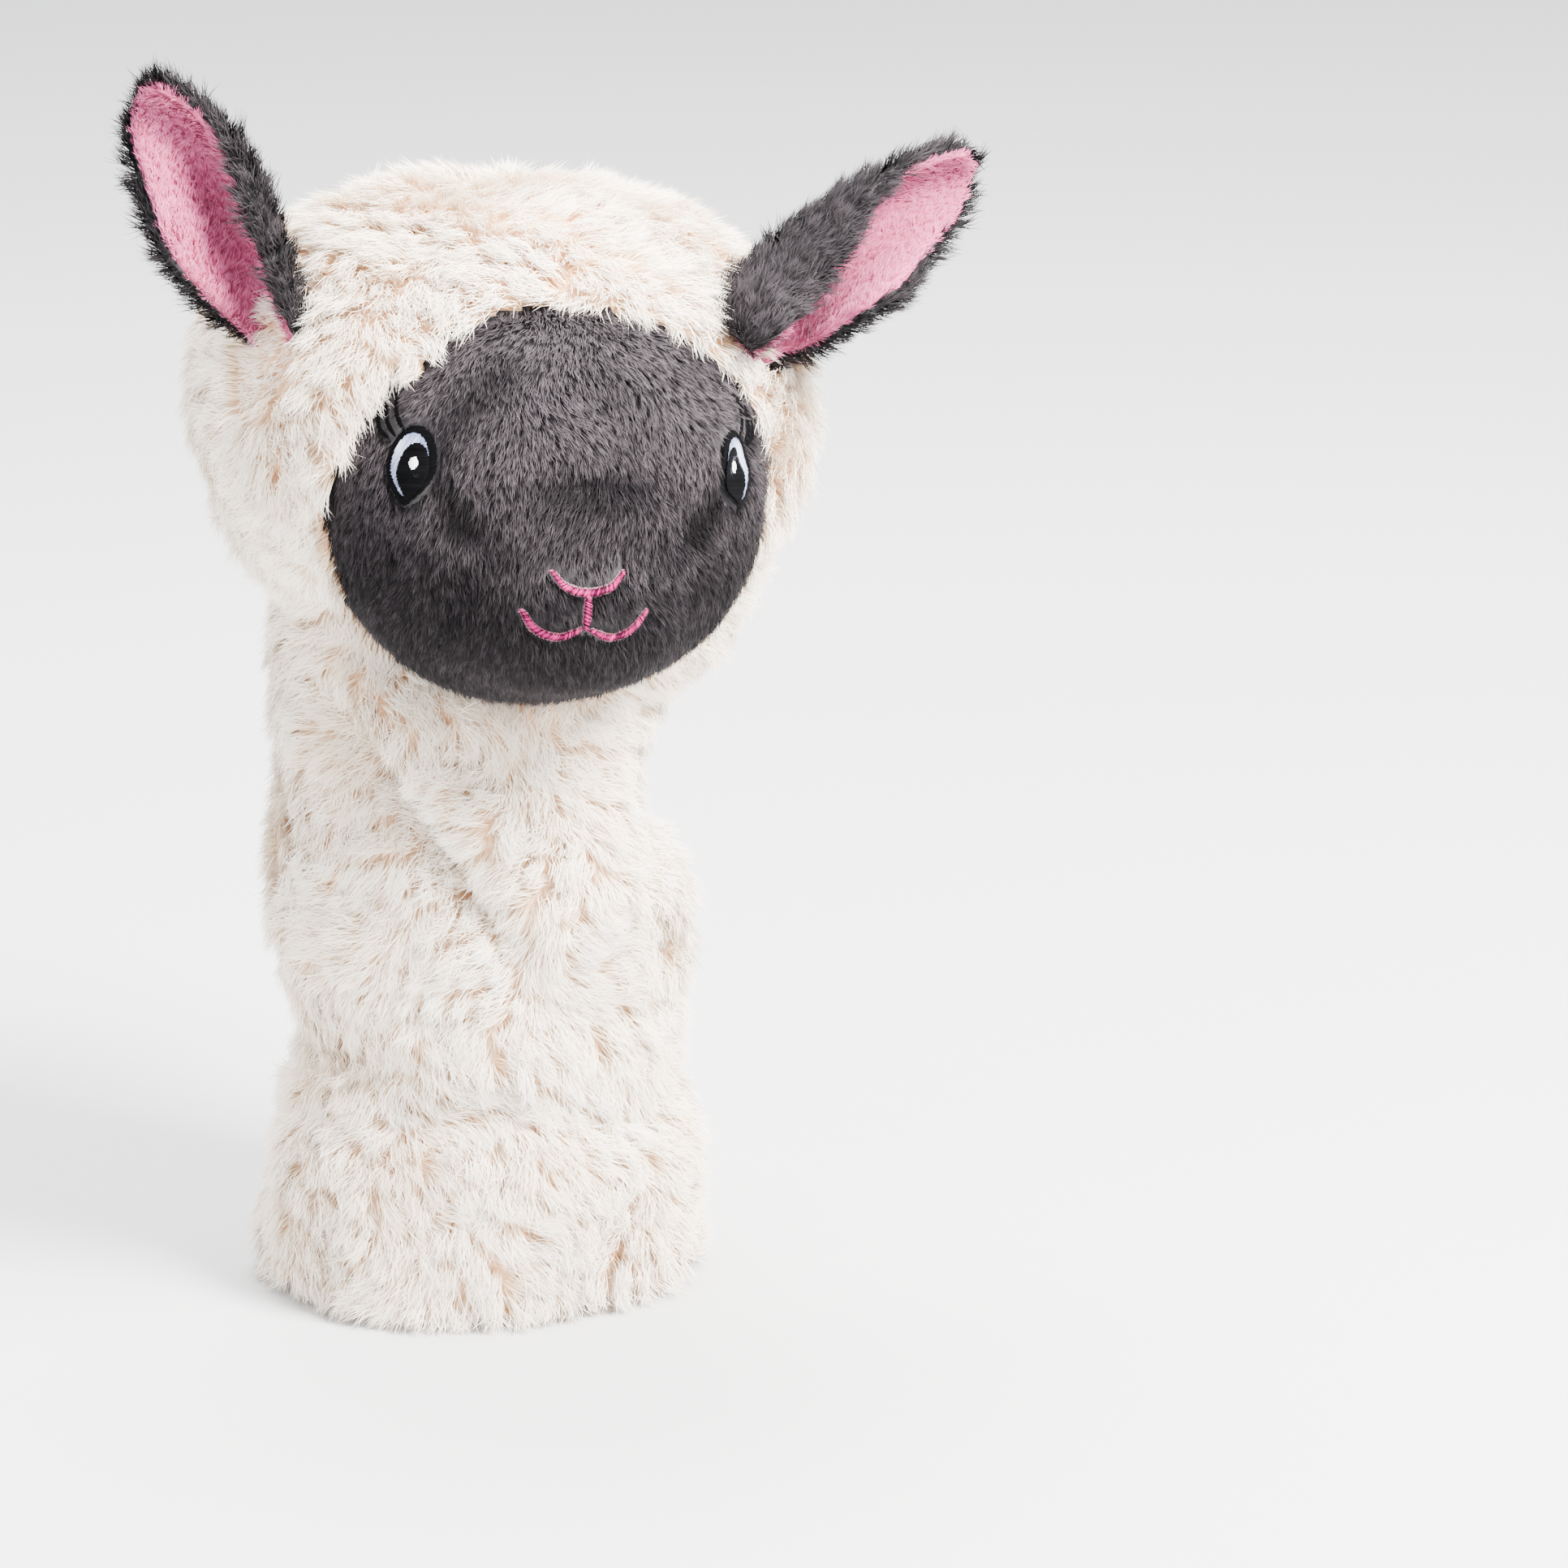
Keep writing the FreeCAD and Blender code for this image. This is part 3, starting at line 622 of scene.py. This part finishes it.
def cream_flow(roots, normals):
    """Down the body, away from the crown, with broad swirls."""
    down = (roots - (0.006, 0, 0)) * (9, 9, 0) + (0, 0, -1)
    return turned(flat_on(normals, down), normals, 0.95 * wave(roots, 0.050, 11))


def face_flow(roots, normals):
    down = unposed(roots) * (5, 0, 0) + (0, 0, -1)
    return turned(flat_on(normals, down), normals, 0.35 * wave(roots, 0.030, 12))


def face_painted_shade(roots, normals):
    """Painted shade on the short pile: darker where its skin faces sideways or down, from just above the
    nose downward, and in the creases, the crease across above the muzzle taken a little lower.
    """
    _, across, slack = creases(roots, 0.0025)
    shaded_low = np.maximum(smooth_step(-normals[:, 2], -0.42, 0.28),
                         smooth_step(0.217 - unposed(roots)[:, 2], 0, 0.012))
    return 0.60 * shaded_low + np.maximum(0.65 * across, 0.5 * slack)


# ---- embroidery ----

# How far threads lie off the skin, and a stitch's height: shares of its length and of its height.
THREAD_RISE, STITCH_HIGH = 1.5 * MM, 0.30 * MM
STITCH_PROFILE = ((0.0, 0.0), (0.10, 0.75), (0.5, 1.0), (0.90, 0.75), (1.0, 0.0))


def onto_skin(skin, flat, matrix, outward):
    """Points (across, up) of a stitching plane carried out to the skin."""
    m = np.array(matrix)
    start = flat[:, :1] * m[:3, 0] + flat[:, 1:] * m[:3, 2] + m[:3, 3] + outward * 0.08
    far = [skin.ray_cast(Vector(point), Vector(-outward))[3] or 0.08 for point in start]
    return start - outward * np.array(far)[:, None]


def stitches(name, rows, skin, matrix, rise, width, material, rng, node):
    """Rows of satin stitch: each row is one raised thread between two flat points, with the first
    of its material's colours at its ends as painted shade, and lighter over its middle as a painted
    highlight."""
    outward = np.array(matrix.to_3x3() @ Vector((0, -1, 0)))
    starts, ends = (np.array([row[k] for row in rows]) for k in (0, 1))
    jitter = rng.normal(size=(len(rows), 2, 1)) * 0.10 * MM
    heading = unit(ends - starts)
    starts, ends = starts + heading * jitter[:, 0], ends + heading * jitter[:, 1]
    cross = np.stack([-heading[:, 1], heading[:, 0]], 1) * width / 2
    vertices = []
    for share, up in STITCH_PROFILE:
        middle = starts + (ends - starts) * share
        for side, lift in ((-1, 0.0), (0, 1.0), (1, 0.0)):
            height = THREAD_RISE + rise + STITCH_HIGH * up * lift
            vertices.append(onto_skin(skin, middle + cross * side, matrix, outward) + outward * height)
    vertices = np.stack(vertices, 1).reshape(-1, 3)
    count, stations = len(rows), len(STITCH_PROFILE)
    first = (np.arange(count)[:, None, None] * stations + np.arange(stations - 1)[:, None]) * 3
    faces = (first + np.arange(2)).reshape(-1, 1) + (0, 1, 4, 3)
    # Painted shade and highlight: the tint falls to 0 at each stitch's ends and is highest over its raised
    # middle, on top of a random tone for each stitch.
    own = rng.normal(0.51, 0.26, count)[:, None] + 1.4 * np.array([up - 1 for _, up in STITCH_PROFILE])
    tint = np.repeat(np.clip(own, 0, 1).ravel(), 3)
    thing = new_object(name, vertices.tolist(), faces.tolist(), material, "cover")
    add_numbers(thing.data, "tint", tint)
    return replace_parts(thing, node) if node else thing


def rows_across(outline, angle, spacing):
    """The stretches inside the closed outline of parallel lines at the angle, spacing apart."""
    along = np.array([math.cos(angle), math.sin(angle)])
    across = np.array([-along[1], along[0]])
    u, v = outline @ along, outline @ across
    before = np.stack([np.roll(u, 1), np.roll(v, 1)])
    rows = []
    for level in np.arange(v.min() + spacing / 2, v.max(), spacing):
        cut = (before[1] > level) != (v > level)
        u0, v0 = before[:, cut]
        crossings = np.sort(u0 + (level - v0) / (v[cut] - v0) * (u[cut] - u0))
        rows += [(along * a + across * level, along * b + across * level)
                 for a, b in zip(crossings[::2], crossings[1::2]) if b - a > 0.3 * MM]
    return rows


def rows_along(line, width, spacing, slant=0.5, taper=0.45):
    """Short stitches across a smooth line, as in satin-stitched lettering."""
    smooth = sampled(line, 200)
    run = np.concatenate([[0], np.cumsum(np.linalg.norm(np.diff(smooth, axis=0), axis=1))])
    places = np.arange(0, run[-1], spacing)
    middle = np.stack([np.interp(places, run, smooth[:, k]) for k in (0, 1)], 1)
    heading = unit(np.gradient(middle, axis=0))
    side = np.stack([-heading[:, 1], heading[:, 0]], 1)
    share = places / run[-1]
    half = width / 2 * (taper + (1 - taper) * np.sin(math.pi * share) ** 0.5)
    reach = side * half[:, None] + heading * (half * slant)[:, None]
    return list(zip(middle - reach, middle + reach))


def catmull(values, at):
    """Smooth values between evenly numbered stations."""
    padded = np.concatenate([[2 * values[0] - values[1]], values, [2 * values[-1] - values[-2]]])
    k = np.clip(at.astype(int), 0, len(values) - 2)
    t = at - k
    p0, p1, p2, p3 = (padded[k + j] for j in range(4))
    return 0.5 * (2 * p1 + (p2 - p0) * t + (2 * p0 - 5 * p1 + 4 * p2 - p3) * t ** 2
                  + (3 * p1 - p0 - 3 * p2 + p3) * t ** 3)


def sampled(line, count=40):
    """Points along a smooth curve through the line's own points."""
    line = np.array(line)
    steps = np.linspace(0, len(line) - 1, count)
    return np.stack([catmull(line[:, k], steps) for k in (0, 1)], 1)


def teardrop(wide, tall, across=0.0, rise=0.0):
    """The outline of an oval that narrows downward."""
    side, up, _ = unit_ring(48)[1].T
    pinch = np.where(up > 0, 1.0, 1.0 - 0.55 * up * up)
    return np.stack([across + wide / 2 * side * pinch, rise + tall / 2 * up], 1)


def eye_frame(side):
    """The stitching plane of an eye."""
    turn = Matrix.Rotation(side * EYE_TURN, 4, "Z")
    (_, cy, cz), (rx, ry, rz) = FACE
    depth = ry * math.sqrt(1 - (EYE_SIDE / rx) ** 2 - ((EYE_HEIGHT - cz) / rz) ** 2)
    centre = Vector((side * EYE_SIDE, cy - depth, EYE_HEIGHT))
    return HEAD_POSE @ Matrix.Translation(centre) @ turn


# Lashes: how far out along the lid each starts, and how far up its tip is. Then the mouth's lines,
# as points across and up in the head's frame, in mm.
LASHES = ((0.30, 0.62), (0.55, 0.50), (0.72, 0.34))
NOSE_CUP = ((-9.1, 212.6), (-5.4, 208.9), (0, 207.7), (5.4, 208.9), (9.1, 212.6))
LIP_LINE = ((0, 207.4), (0, 203.0), (0, 198.4))
MOUTH_CURL = ((15.7, 202.8), (11.8, 198.0), (6.4, 196.4), (1.0, 198.6))
MOUTH_FRAME = HEAD_POSE @ Matrix.Translation((0, FACE[0][1] - FACE[1][1], 0))


def lash_lines(side):
    lines = []
    for reach, rise in LASHES:
        root = np.array([side * EYE_WIDE * 0.8 * reach, EYE_TALL * (0.48 - 0.28 * reach)])
        tip = np.array([side * EYE_WIDE * (0.50 + reach * 0.65), EYE_TALL * (rise + 0.20)])
        lines.append([root, (root + tip) / 2 + np.array([side, -1]) * 0.7 * MM, tip])
    return lines


def mouth_lines():
    cup, line = (np.array(points) * MM for points in (NOSE_CUP, LIP_LINE))
    curls = [np.array(MOUTH_CURL) * (side * MM, MM) for side in (-1, 1)]
    return {"nose": [cup], "mouth": [line] + curls}


def make_eyes(skin):
    rng = np.random.default_rng(21)
    step, width = 0.28 * MM, 0.42 * MM
    for name, side in (("left", -1), ("right", 1)):
        matrix = eye_frame(side)
        w, t = EYE_WIDE, EYE_TALL
        patches = (
            ("outline", teardrop(w, t), BLACK_THREAD, 1, 0.25),
            ("iris", teardrop(w * 0.72, t * 0.78, side * w * 0.02, t * 0.02), SILVER_THREAD, 2, 1.2),
            ("pupil", teardrop(w * 0.62, t * 0.70, -side * w * 0.09, -t * 0.05), BLACK_THREAD, 3, 0.1),
            ("glint", teardrop(w * 0.17, t * 0.15, -side * w * 0.10, t * 0.05), WHITE_THREAD, 4, 0.4),
        )
        for part, outline, material, level, angle in patches:
            rows = rows_across(outline, angle * -side, 0.33 * MM)
            thing = stitches(f"eye_{name}_{part}_threads", rows, skin, matrix, level * step, width,
                             material, rng, f"eye_{name}_{part}")
        rows = [row for line in lash_lines(side)
                for row in rows_along(line, 1.1 * MM, 0.26 * MM, slant=1.6, taper=0.3)]
        lashes = stitches(f"eye_{name}_lash_threads", rows, skin, matrix, 2 * step, 0.34 * MM,
                          BLACK_THREAD, rng, f"eye_{name}_lashes")


def make_mouth(skin):
    """Satin stitch over a slightly wider, paler layer of the same stitch."""
    rng = np.random.default_rng(22)
    for name, lines in mouth_lines().items():
        layers = (("edge", 2.2, 0.1, PALE_THREAD, None),
                  ("threads", 1.75, 0.5, PINK_THREAD, f"{name}_stitching"))
        for part, width, rise, material, node in layers:
            rows = [row for line in lines for row in rows_along(line, width * MM, 0.27 * MM)]
            thing = stitches(f"{name}_{part}", rows, skin, MOUTH_FRAME, rise * MM, 0.36 * MM, material,
                             rng, node)


# How far the fur keeps from the threads of the eyes, the lashes and the mouth.
EYE_CLEAR, LASH_CLEAR, MOUTH_CLEAR = 0.1 * MM, 0.6 * MM, 0.95 * MM


def clear_of_embroidery(path):
    """True for strands that cross no stitched patch, so that none grows through the thread."""
    clear = np.ones(len(path[0]), dtype=bool)
    for points in path:
        for side in (-1, 1):
            flat = posed(points, eye_frame(side).inverted())
            near = np.hypot(flat[:, 0], flat[:, 2]) < 0.025
            near &= np.abs(flat[:, 1]) < 0.02
            x, z = flat[near, 0], flat[near, 2]
            narrow = np.where(z < 0, 1 - 0.45 * (z / (EYE_TALL / 2)) ** 2, 1)
            hit = ((x / (EYE_WIDE / 2 + EYE_CLEAR) / narrow) ** 2
                   + (z / (EYE_TALL / 2 + EYE_CLEAR)) ** 2 < 1)
            for line in lash_lines(side):
                hit |= distance_to(sampled(line), x, z) < LASH_CLEAR
            clear[np.flatnonzero(near)[hit]] = False
        local = unposed(points)
        near = (local[:, 1] < -0.07) & (np.abs(local[:, 0]) < 0.02) & (local[:, 2] < 0.216)
        x, z = local[near, 0], local[near, 2]
        hit = np.zeros(len(x), dtype=bool)
        for line in sum(mouth_lines().values(), []):
            hit |= distance_to(sampled(line), x, z) < MOUTH_CLEAR
        clear[np.flatnonzero(near)[hit]] = False
    return clear


# ---- ears ----

EAR_STATIONS = np.array([
    # share of length, front half, rear half, then shares of the wrap, the fold and the spread
    (0.0, 18.5, 15.0, 0.92, 0.50, 1.0),
    (0.18, 19.5, 27.5, 1.0, 0.80, 0.66),
    (0.42, 20.5, 38.0, 1.0, 1.0, 0.25),
    (0.68, 13.0, 27.5, 0.90, 0.85, 0.0),
    (0.88, 6.0, 16.5, 0.70, 0.50, 0.0),
    (1.0, 2.0, 3.5, 0.40, 0.15, 0.0),
])
# Points along an ear, across each half of it and across the whole of it.
EAR_ALONG, EAR_HALF = 44, 17
EAR_ACROSS = EAR_HALF * 2 - 1
# The two sides of each pad, the back's and then the front's: depth below the ear's back, and trim in
# from its edge, in mm.
EAR_SIDES = ((1.0, 0.7), (3.2, 0.6), (3.1, 0.7), (4.4, 0.9))
# An ear's section makes most of its wrap within CUP_REACH mm, and then goes on by CUP_DRIFT degrees
# a mm, where its wrap is CUP_WRAP.
CUP_REACH, CUP_DRIFT, CUP_WRAP = 11.5, 0.6, 78


def ear_pose(name):
    """The ear's own frame: its width, its back and its length."""
    side, base, *angles, _, _, _ = EARS[name]
    lean, cup = (math.radians(angle) for angle in angles)
    up = Vector((side * math.sin(lean), 0, math.cos(lean)))
    opening = Vector((side * math.sin(cup), -math.cos(cup), 0))
    opening = (opening - up * opening.dot(up)).normalized()
    back = -opening
    matrix = Matrix((back.cross(up), back, up)).transposed().to_4x4()
    return HEAD_POSE @ Matrix.Translation(base) @ matrix


def ear_sheet(name, depth, trim):
    """A grid of points over the ear, depth below its back and trim in from its edge. It starts a
    little below the base, inside the head."""
    side, *_, full_wrap, fold_height, spread = EARS[name]
    stations = EAR_STATIONS[:, 0]
    shares = np.linspace(-0.13, 1 - trim * MM / EAR_LONG, EAR_ALONG)
    place = np.interp(shares, stations, np.arange(len(stations)))
    fronts, rears, wraps, folds, spreads = (catmull(EAR_STATIONS[:, k], place) for k in range(1, 6))
    rows = []
    for share, front, rear, wrap, fold, open_share in zip(shares, fronts, rears, wraps * full_wrap,
                                                          folds * fold_height, spreads):
        halves = []
        for width in (front, rear):
            reach = max(width * spread ** max(open_share, 0) - trim, 0.5)
            at = np.linspace(0, reach, EAR_HALF * 4)
            turn = np.radians(wrap * np.tanh(at / CUP_REACH) + CUP_DRIFT * at * wrap / CUP_WRAP)
            x = np.concatenate([[0], np.cumsum(np.cos(turn[:-1]) * at[1])])
            y = np.concatenate([[0], -np.cumsum(np.sin(turn[:-1]) * at[1])])
            x, y = x - depth * np.sin(turn), y - depth * np.cos(turn)
            pick = np.linspace(0, len(at) - 1, EAR_HALF).astype(int)
            halves.append((x[pick], y[pick]))
        (fx, fy), (rx, ry) = halves
        xs, ys = np.concatenate([-fx[:0:-1], rx]), np.concatenate([fy[:0:-1], ry])
        rows.append(np.stack([side * xs, ys + fold, np.full(len(xs), share * EAR_LONG / MM)], 1))
    points = np.array(rows).reshape(-1, 3) * MM
    return posed(points, ear_pose(name))


def two_sided(outer, inner, flip):
    """A closed thin pad between two of an ear's grids: its points, and the faces of its outer side,
    its inner side and its rim."""
    count = EAR_ALONG * EAR_ACROSS
    grid = np.arange(count).reshape(EAR_ALONG, EAR_ACROSS)
    upper = np.stack([grid[:-1, :-1], grid[:-1, 1:], grid[1:, 1:], grid[1:, :-1]], 2).reshape(-1, 4)
    edge = np.concatenate([grid[0], grid[1:, -1], grid[-1, -2::-1], grid[-2:0:-1, 0]])
    after = np.roll(edge, -1)
    rim = np.stack([after, edge, edge + count, after + count], 1)
    if flip:
        upper, rim = upper[:, ::-1], rim[:, ::-1]
    return np.concatenate([outer, inner]), upper, upper[:, ::-1] + count, rim


# The pads of each ear: name, slot, backing, the CAD nodes it stands for, its pile, fur and seed.
EAR_PADS = (
    ("back", "grey_short_pile", GREY_BACK, ("back_panel", "batting"), EAR_GREY_PILE, EAR_GREY_FUR_SHADED, 31),
    ("front", "pink_short_pile", PINK_BACK, ("front_panel",), EAR_PINK_PILE, PINK_FUR, 41),
)


def make_ears():
    """Each ear is two pads back to back, furred on the side that shows and round the rim."""
    for index, (name, (side, *_)) in enumerate(EARS.items()):
        pose = np.array(ear_pose(name))
        way, foot = pose[:3, 2], pose[:3, 3]

        def sewn(thing):
            """Bakes the piece's placement into its mesh."""
            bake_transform(thing)

        sheets = [ear_sheet(name, depth, trim) for depth, trim in EAR_SIDES]
        grounds = []
        for k, (part, slot, backing, nodes, *_) in enumerate(EAR_PADS):
            points, *sides, rim = two_sided(*sheets[2 * k:2 * k + 2], side > 0)
            furry = np.concatenate([sides[k], rim])
            pad = new_object(f"ear_{name}_{part}", points.tolist(),
                             np.concatenate([furry, sides[1 - k]]).tolist(), backing)
            sewn(pad)
            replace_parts(pad, *(f"ear_{name}_{node}" for node in nodes))
            grounds.append((points, furry))

        def to_tip(roots, normals):
            return turned(flat_on(normals, np.tile(way, (len(roots), 1))), normals,
                          0.35 * wave(roots, 0.02, 13))

        def outside_head(path):
            return ((unposed(path[0]) - HEAD[0]) ** 2 / (np.array(HEAD[1]) - 4 * MM) ** 2).sum(1) > 1

        for (points, furry), (part, slot, _, _, pile, fur, seed) in zip(grounds, EAR_PADS):
            for thing in furred(f"ear_{name}_{part}_pile", points, furry, to_tip, pile, fur,
                                seed + index, outside_head):
                sewn(thing)


def short_in_ears(path):
    """Shortens the strands that grow up inside the cup of an ear, and keeps them all."""
    for name in EARS:
        x, y, z = (posed(path[0], ear_pose(name).inverted()) / MM).T
        inside = (np.abs(x) < 11) & (y > -13) & (y < 0) & (z < 14) & (z > -16)
        for points in path[:0:-1]:
            points[inside] = path[0][inside] + (points[inside] - path[0][inside]) * 0.35
    return slice(None)


# ---- the body ----

# The two kinds of panel: slot, backing, flow, pile, fur, what trims its strands, and what paints shade
# into their strands.
CREAM_PANEL = ("cream_long_pile", CREAM_BACK, cream_flow, CREAM_PILE, CREAM_FUR, short_in_ears, None)
GREY_PANEL = ("grey_short_pile", GREY_BACK, face_flow, GREY_PILE, GREY_FUR, clear_of_embroidery, face_painted_shade)


def make_body():
    """The panels and their piles. Returns the whole skin, for the embroidery to lie on."""
    points, faces = skin_mesh()
    points = relax(points, faces, 6)
    points = drape(points, vertex_normals(points, faces))
    points = relax(points, faces, 2)
    points = seam_grooves(points, vertex_normals(points, faces))
    centres = points[faces].mean(1)
    names = region_names(centres)
    above_hem = centres[:, 2] > HEM_GAP
    for index, node in enumerate(sorted(set(names))):
        chosen = faces[(names == node) & above_hem]
        used, local = np.unique(chosen, return_inverse=True)
        part, part_faces = points[used], local.reshape(-1, 4)
        kind = GREY_PANEL if node.startswith("face") else CREAM_PANEL
        slot, backing, flow, pile, fur, keep, painted_shade = kind
        stem = node.replace("_panel", "")
        listed = [tuple(dict.fromkeys(f)) for f in part_faces.tolist()]
        panel = new_object(f"{stem}_skin", part.tolist(), listed, backing, "cover")
        thicken(panel, 1.0 * MM, -1)
        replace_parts(panel, node)
        for thing in furred(f"{stem}_pile", part, part_faces, flow, pile, fur, 51 + index, keep, painted_shade):
            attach(thing, "cover")
    return BVHTree.FromPolygons(points.tolist(), faces[:, :3].tolist() + faces[:, [0, 2, 3]].tolist())


WADDING_DEPTH = 0.0018


def make_wadding(skin):
    """The head's filling, pressed in wherever it would show through the skin."""
    source = frame["nodes"]["head_padding"]
    points = []
    for vertex in source.data.vertices:
        place = source.matrix_world @ vertex.co
        near, outward, _, _ = skin.find_nearest(place)
        depth = (near - place).dot(outward)
        points.append(near - outward * WADDING_DEPTH if depth < WADDING_DEPTH else place)
    wadding = new_object("head_wadding", points, [tuple(p.vertices) for p in source.data.polygons],
                         WADDING, "cover")
    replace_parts(wadding, "head_padding")


# The radius of the sleeve's mouth, and the turned-in hem from its outer edge to there and up inside:
# share of the way in, and height in mm.
MOUTH_RADIUS = 0.0345
HEM_PROFILE = ((0.0, 5.0), (0.04, 3.4), (0.16, 2.3), (0.5, 1.9), (0.84, 2.4), (0.97, 4.5), (1.0, 9.0),
               (1.0, 22.5))


def make_hem():
    """The fur turned in round the sleeve's mouth, with its pile cut short."""
    turns = 120
    angles, ring = unit_ring(turns)
    outer = ring * (*(SLEEVE[0, 2:] - CREAM_INSET), 1) + (SLEEVE[0, 1], 0, 0)
    inner = ring * (MOUTH_RADIUS, MOUTH_RADIUS, 1)
    pucker = 0.7 * MM * np.sin(9 * angles + 0.6) + 0.5 * MM * np.sin(23 * angles)
    rows = []
    for share, height in HEM_PROFILE:
        row = outer + (inner - outer) * share
        row[:, 2] = height * MM
        row += ring * (pucker * share)[:, None]
        rows.append(row)
    points = np.concatenate(rows)
    faces = ring_faces(len(rows), turns)[:, ::-1]
    hem = new_object("hem_facing", points.tolist(), faces.tolist(), CREAM_BACK, "cover")
    thicken(hem, 0.9 * MM, -1)
    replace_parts(hem, "sleeve_hem_facing")

    def inward(roots, normals):
        return flat_on(normals, -roots * (1, 1, 0) + (0, 0, 0.01))

    short = dict(CREAM_PILE, length=4.5 * MM, density=0.7e6, lift=(0.35, -0.1))
    for pile in furred("hem_facing_pile", points, faces, inward, short, CREAM_FUR, 71):
        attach(pile, "cover")


# The lining tube's flat size: round the hem's opening, and from the hem up into the pocket's mouth.
# Heights up the lining and its radius at each, and the height where the elastic gathers it.
LINING_HEIGHTS, LINING_RADII = (0.0215, 0.138, 0.158, 0.215), (0.0335, 0.0275, 0.0275, 0.030)
THROAT_HEIGHT = 0.148


def make_lining():
    """Knit lining, drawn into pleats by the elastic at the throat."""
    turns, rings = 160, 48
    angles, ring = unit_ring(turns)
    heights = np.linspace(LINING_HEIGHTS[0], 0.212, rings)
    radii = np.interp(heights, LINING_HEIGHTS, LINING_RADII)
    gathers = np.exp(-((heights - THROAT_HEIGHT) / 0.022) ** 2)
    points = []
    for height, radius, gather in zip(heights, radii, gathers):
        pleat = (gather * 0.9 * MM * np.sin(26 * angles + 3 * np.sin(angles))
                 + 0.5 * MM * np.sin(5 * angles + height * 60))
        points.append(ring * (radius + pleat)[:, None] + (0, 0, height))
    lining = new_object("sleeve_lining", np.concatenate(points).tolist(),
                        ring_faces(rings, turns).tolist(), LINING, "cover")
    thicken(lining, 0.6 * MM, 1)
    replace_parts(lining, "lining_sleeve", "lining_throat", "lining_neck")


# ---- the picture: floor, light and camera ----

# Lamps: name, place, size, power and colour. All of them point at LAMP_AIM.
LAMPS = (("key", (0.75, -0.95, 1.45), 0.6, 255, (1, 0.985, 0.96)),
         ("fill", (-1.1, -0.7, 0.9), 1.0, 14, (0.95, 0.97, 1)),
         ("top", (0.0, 0.4, 1.4), 0.8, 60, (1, 1, 1)))
LAMP_AIM = Vector((0, 0, 0.17))


def make_set():
    bpy.ops.mesh.primitive_grid_add(x_subdivisions=4, y_subdivisions=4, size=8, location=(0, 0, 0))
    floor = bpy.context.object
    floor.name = "floor"
    material, tree, base = node_material("floor_paper", 0.9)
    tree.links.new(mix(tree, noise(tree, 3.0), (0.62, 0.62, 0.62), (0.65, 0.65, 0.65)), base)
    floor.data.materials.append(material)
    world = bpy.data.worlds.new("studio")
    world.use_nodes = True
    background = world.node_tree.nodes["Background"]
    background.inputs["Color"].default_value = (0.95, 0.97, 1.0, 1)
    background.inputs["Strength"].default_value = 1.65
    bpy.context.scene.world = world
    for name, place, size, power, colour in LAMPS:
        light = bpy.data.lights.new(name, "AREA")
        light.size, light.energy, light.color = size, power, colour
        lamp = placed(name, light)
        lamp.location = place
        lamp.rotation_euler = (LAMP_AIM - Vector(place)).to_track_quat("-Z", "Y").to_euler()
    right = Vector((math.cos(VIEW_TURN), math.sin(VIEW_TURN), 0))
    ahead = Vector((-math.sin(VIEW_TURN) * math.cos(VIEW_LIFT), math.cos(VIEW_TURN) * math.cos(VIEW_LIFT),
                    -math.sin(VIEW_LIFT)))
    up = right.cross(ahead)
    across, above, along = VIEW_AIM
    aim = right * across + up * above + ahead * along
    lens = bpy.data.cameras.new("camera")
    lens.sensor_width = 36
    lens.lens = lens.sensor_width * VIEW_DISTANCE / VIEW_WIDE
    lens.clip_start = 0.05
    camera = placed("camera", lens)
    camera.location = aim - ahead * VIEW_DISTANCE
    camera.rotation_euler = ahead.to_track_quat("-Z", "Y").to_euler()
    bpy.context.scene.camera = camera


def finish_cad_nodes():
    """Materials for the inner pieces that stay as their CAD meshes."""
    for node, material in (("muzzle_stuffing", WADDING), ("lining_pocket", LINING),
                           ("neck_elastic", ELASTIC), ("elastic_casing", LINING)):
        mesh = frame["nodes"][node].data
        mesh.materials.clear()
        mesh.materials.append(material)


make_set()
skin = make_body()
make_eyes(skin)
make_mouth(skin)
make_wadding(skin)
make_ears()
make_hem()
make_lining()
finish_cad_nodes()
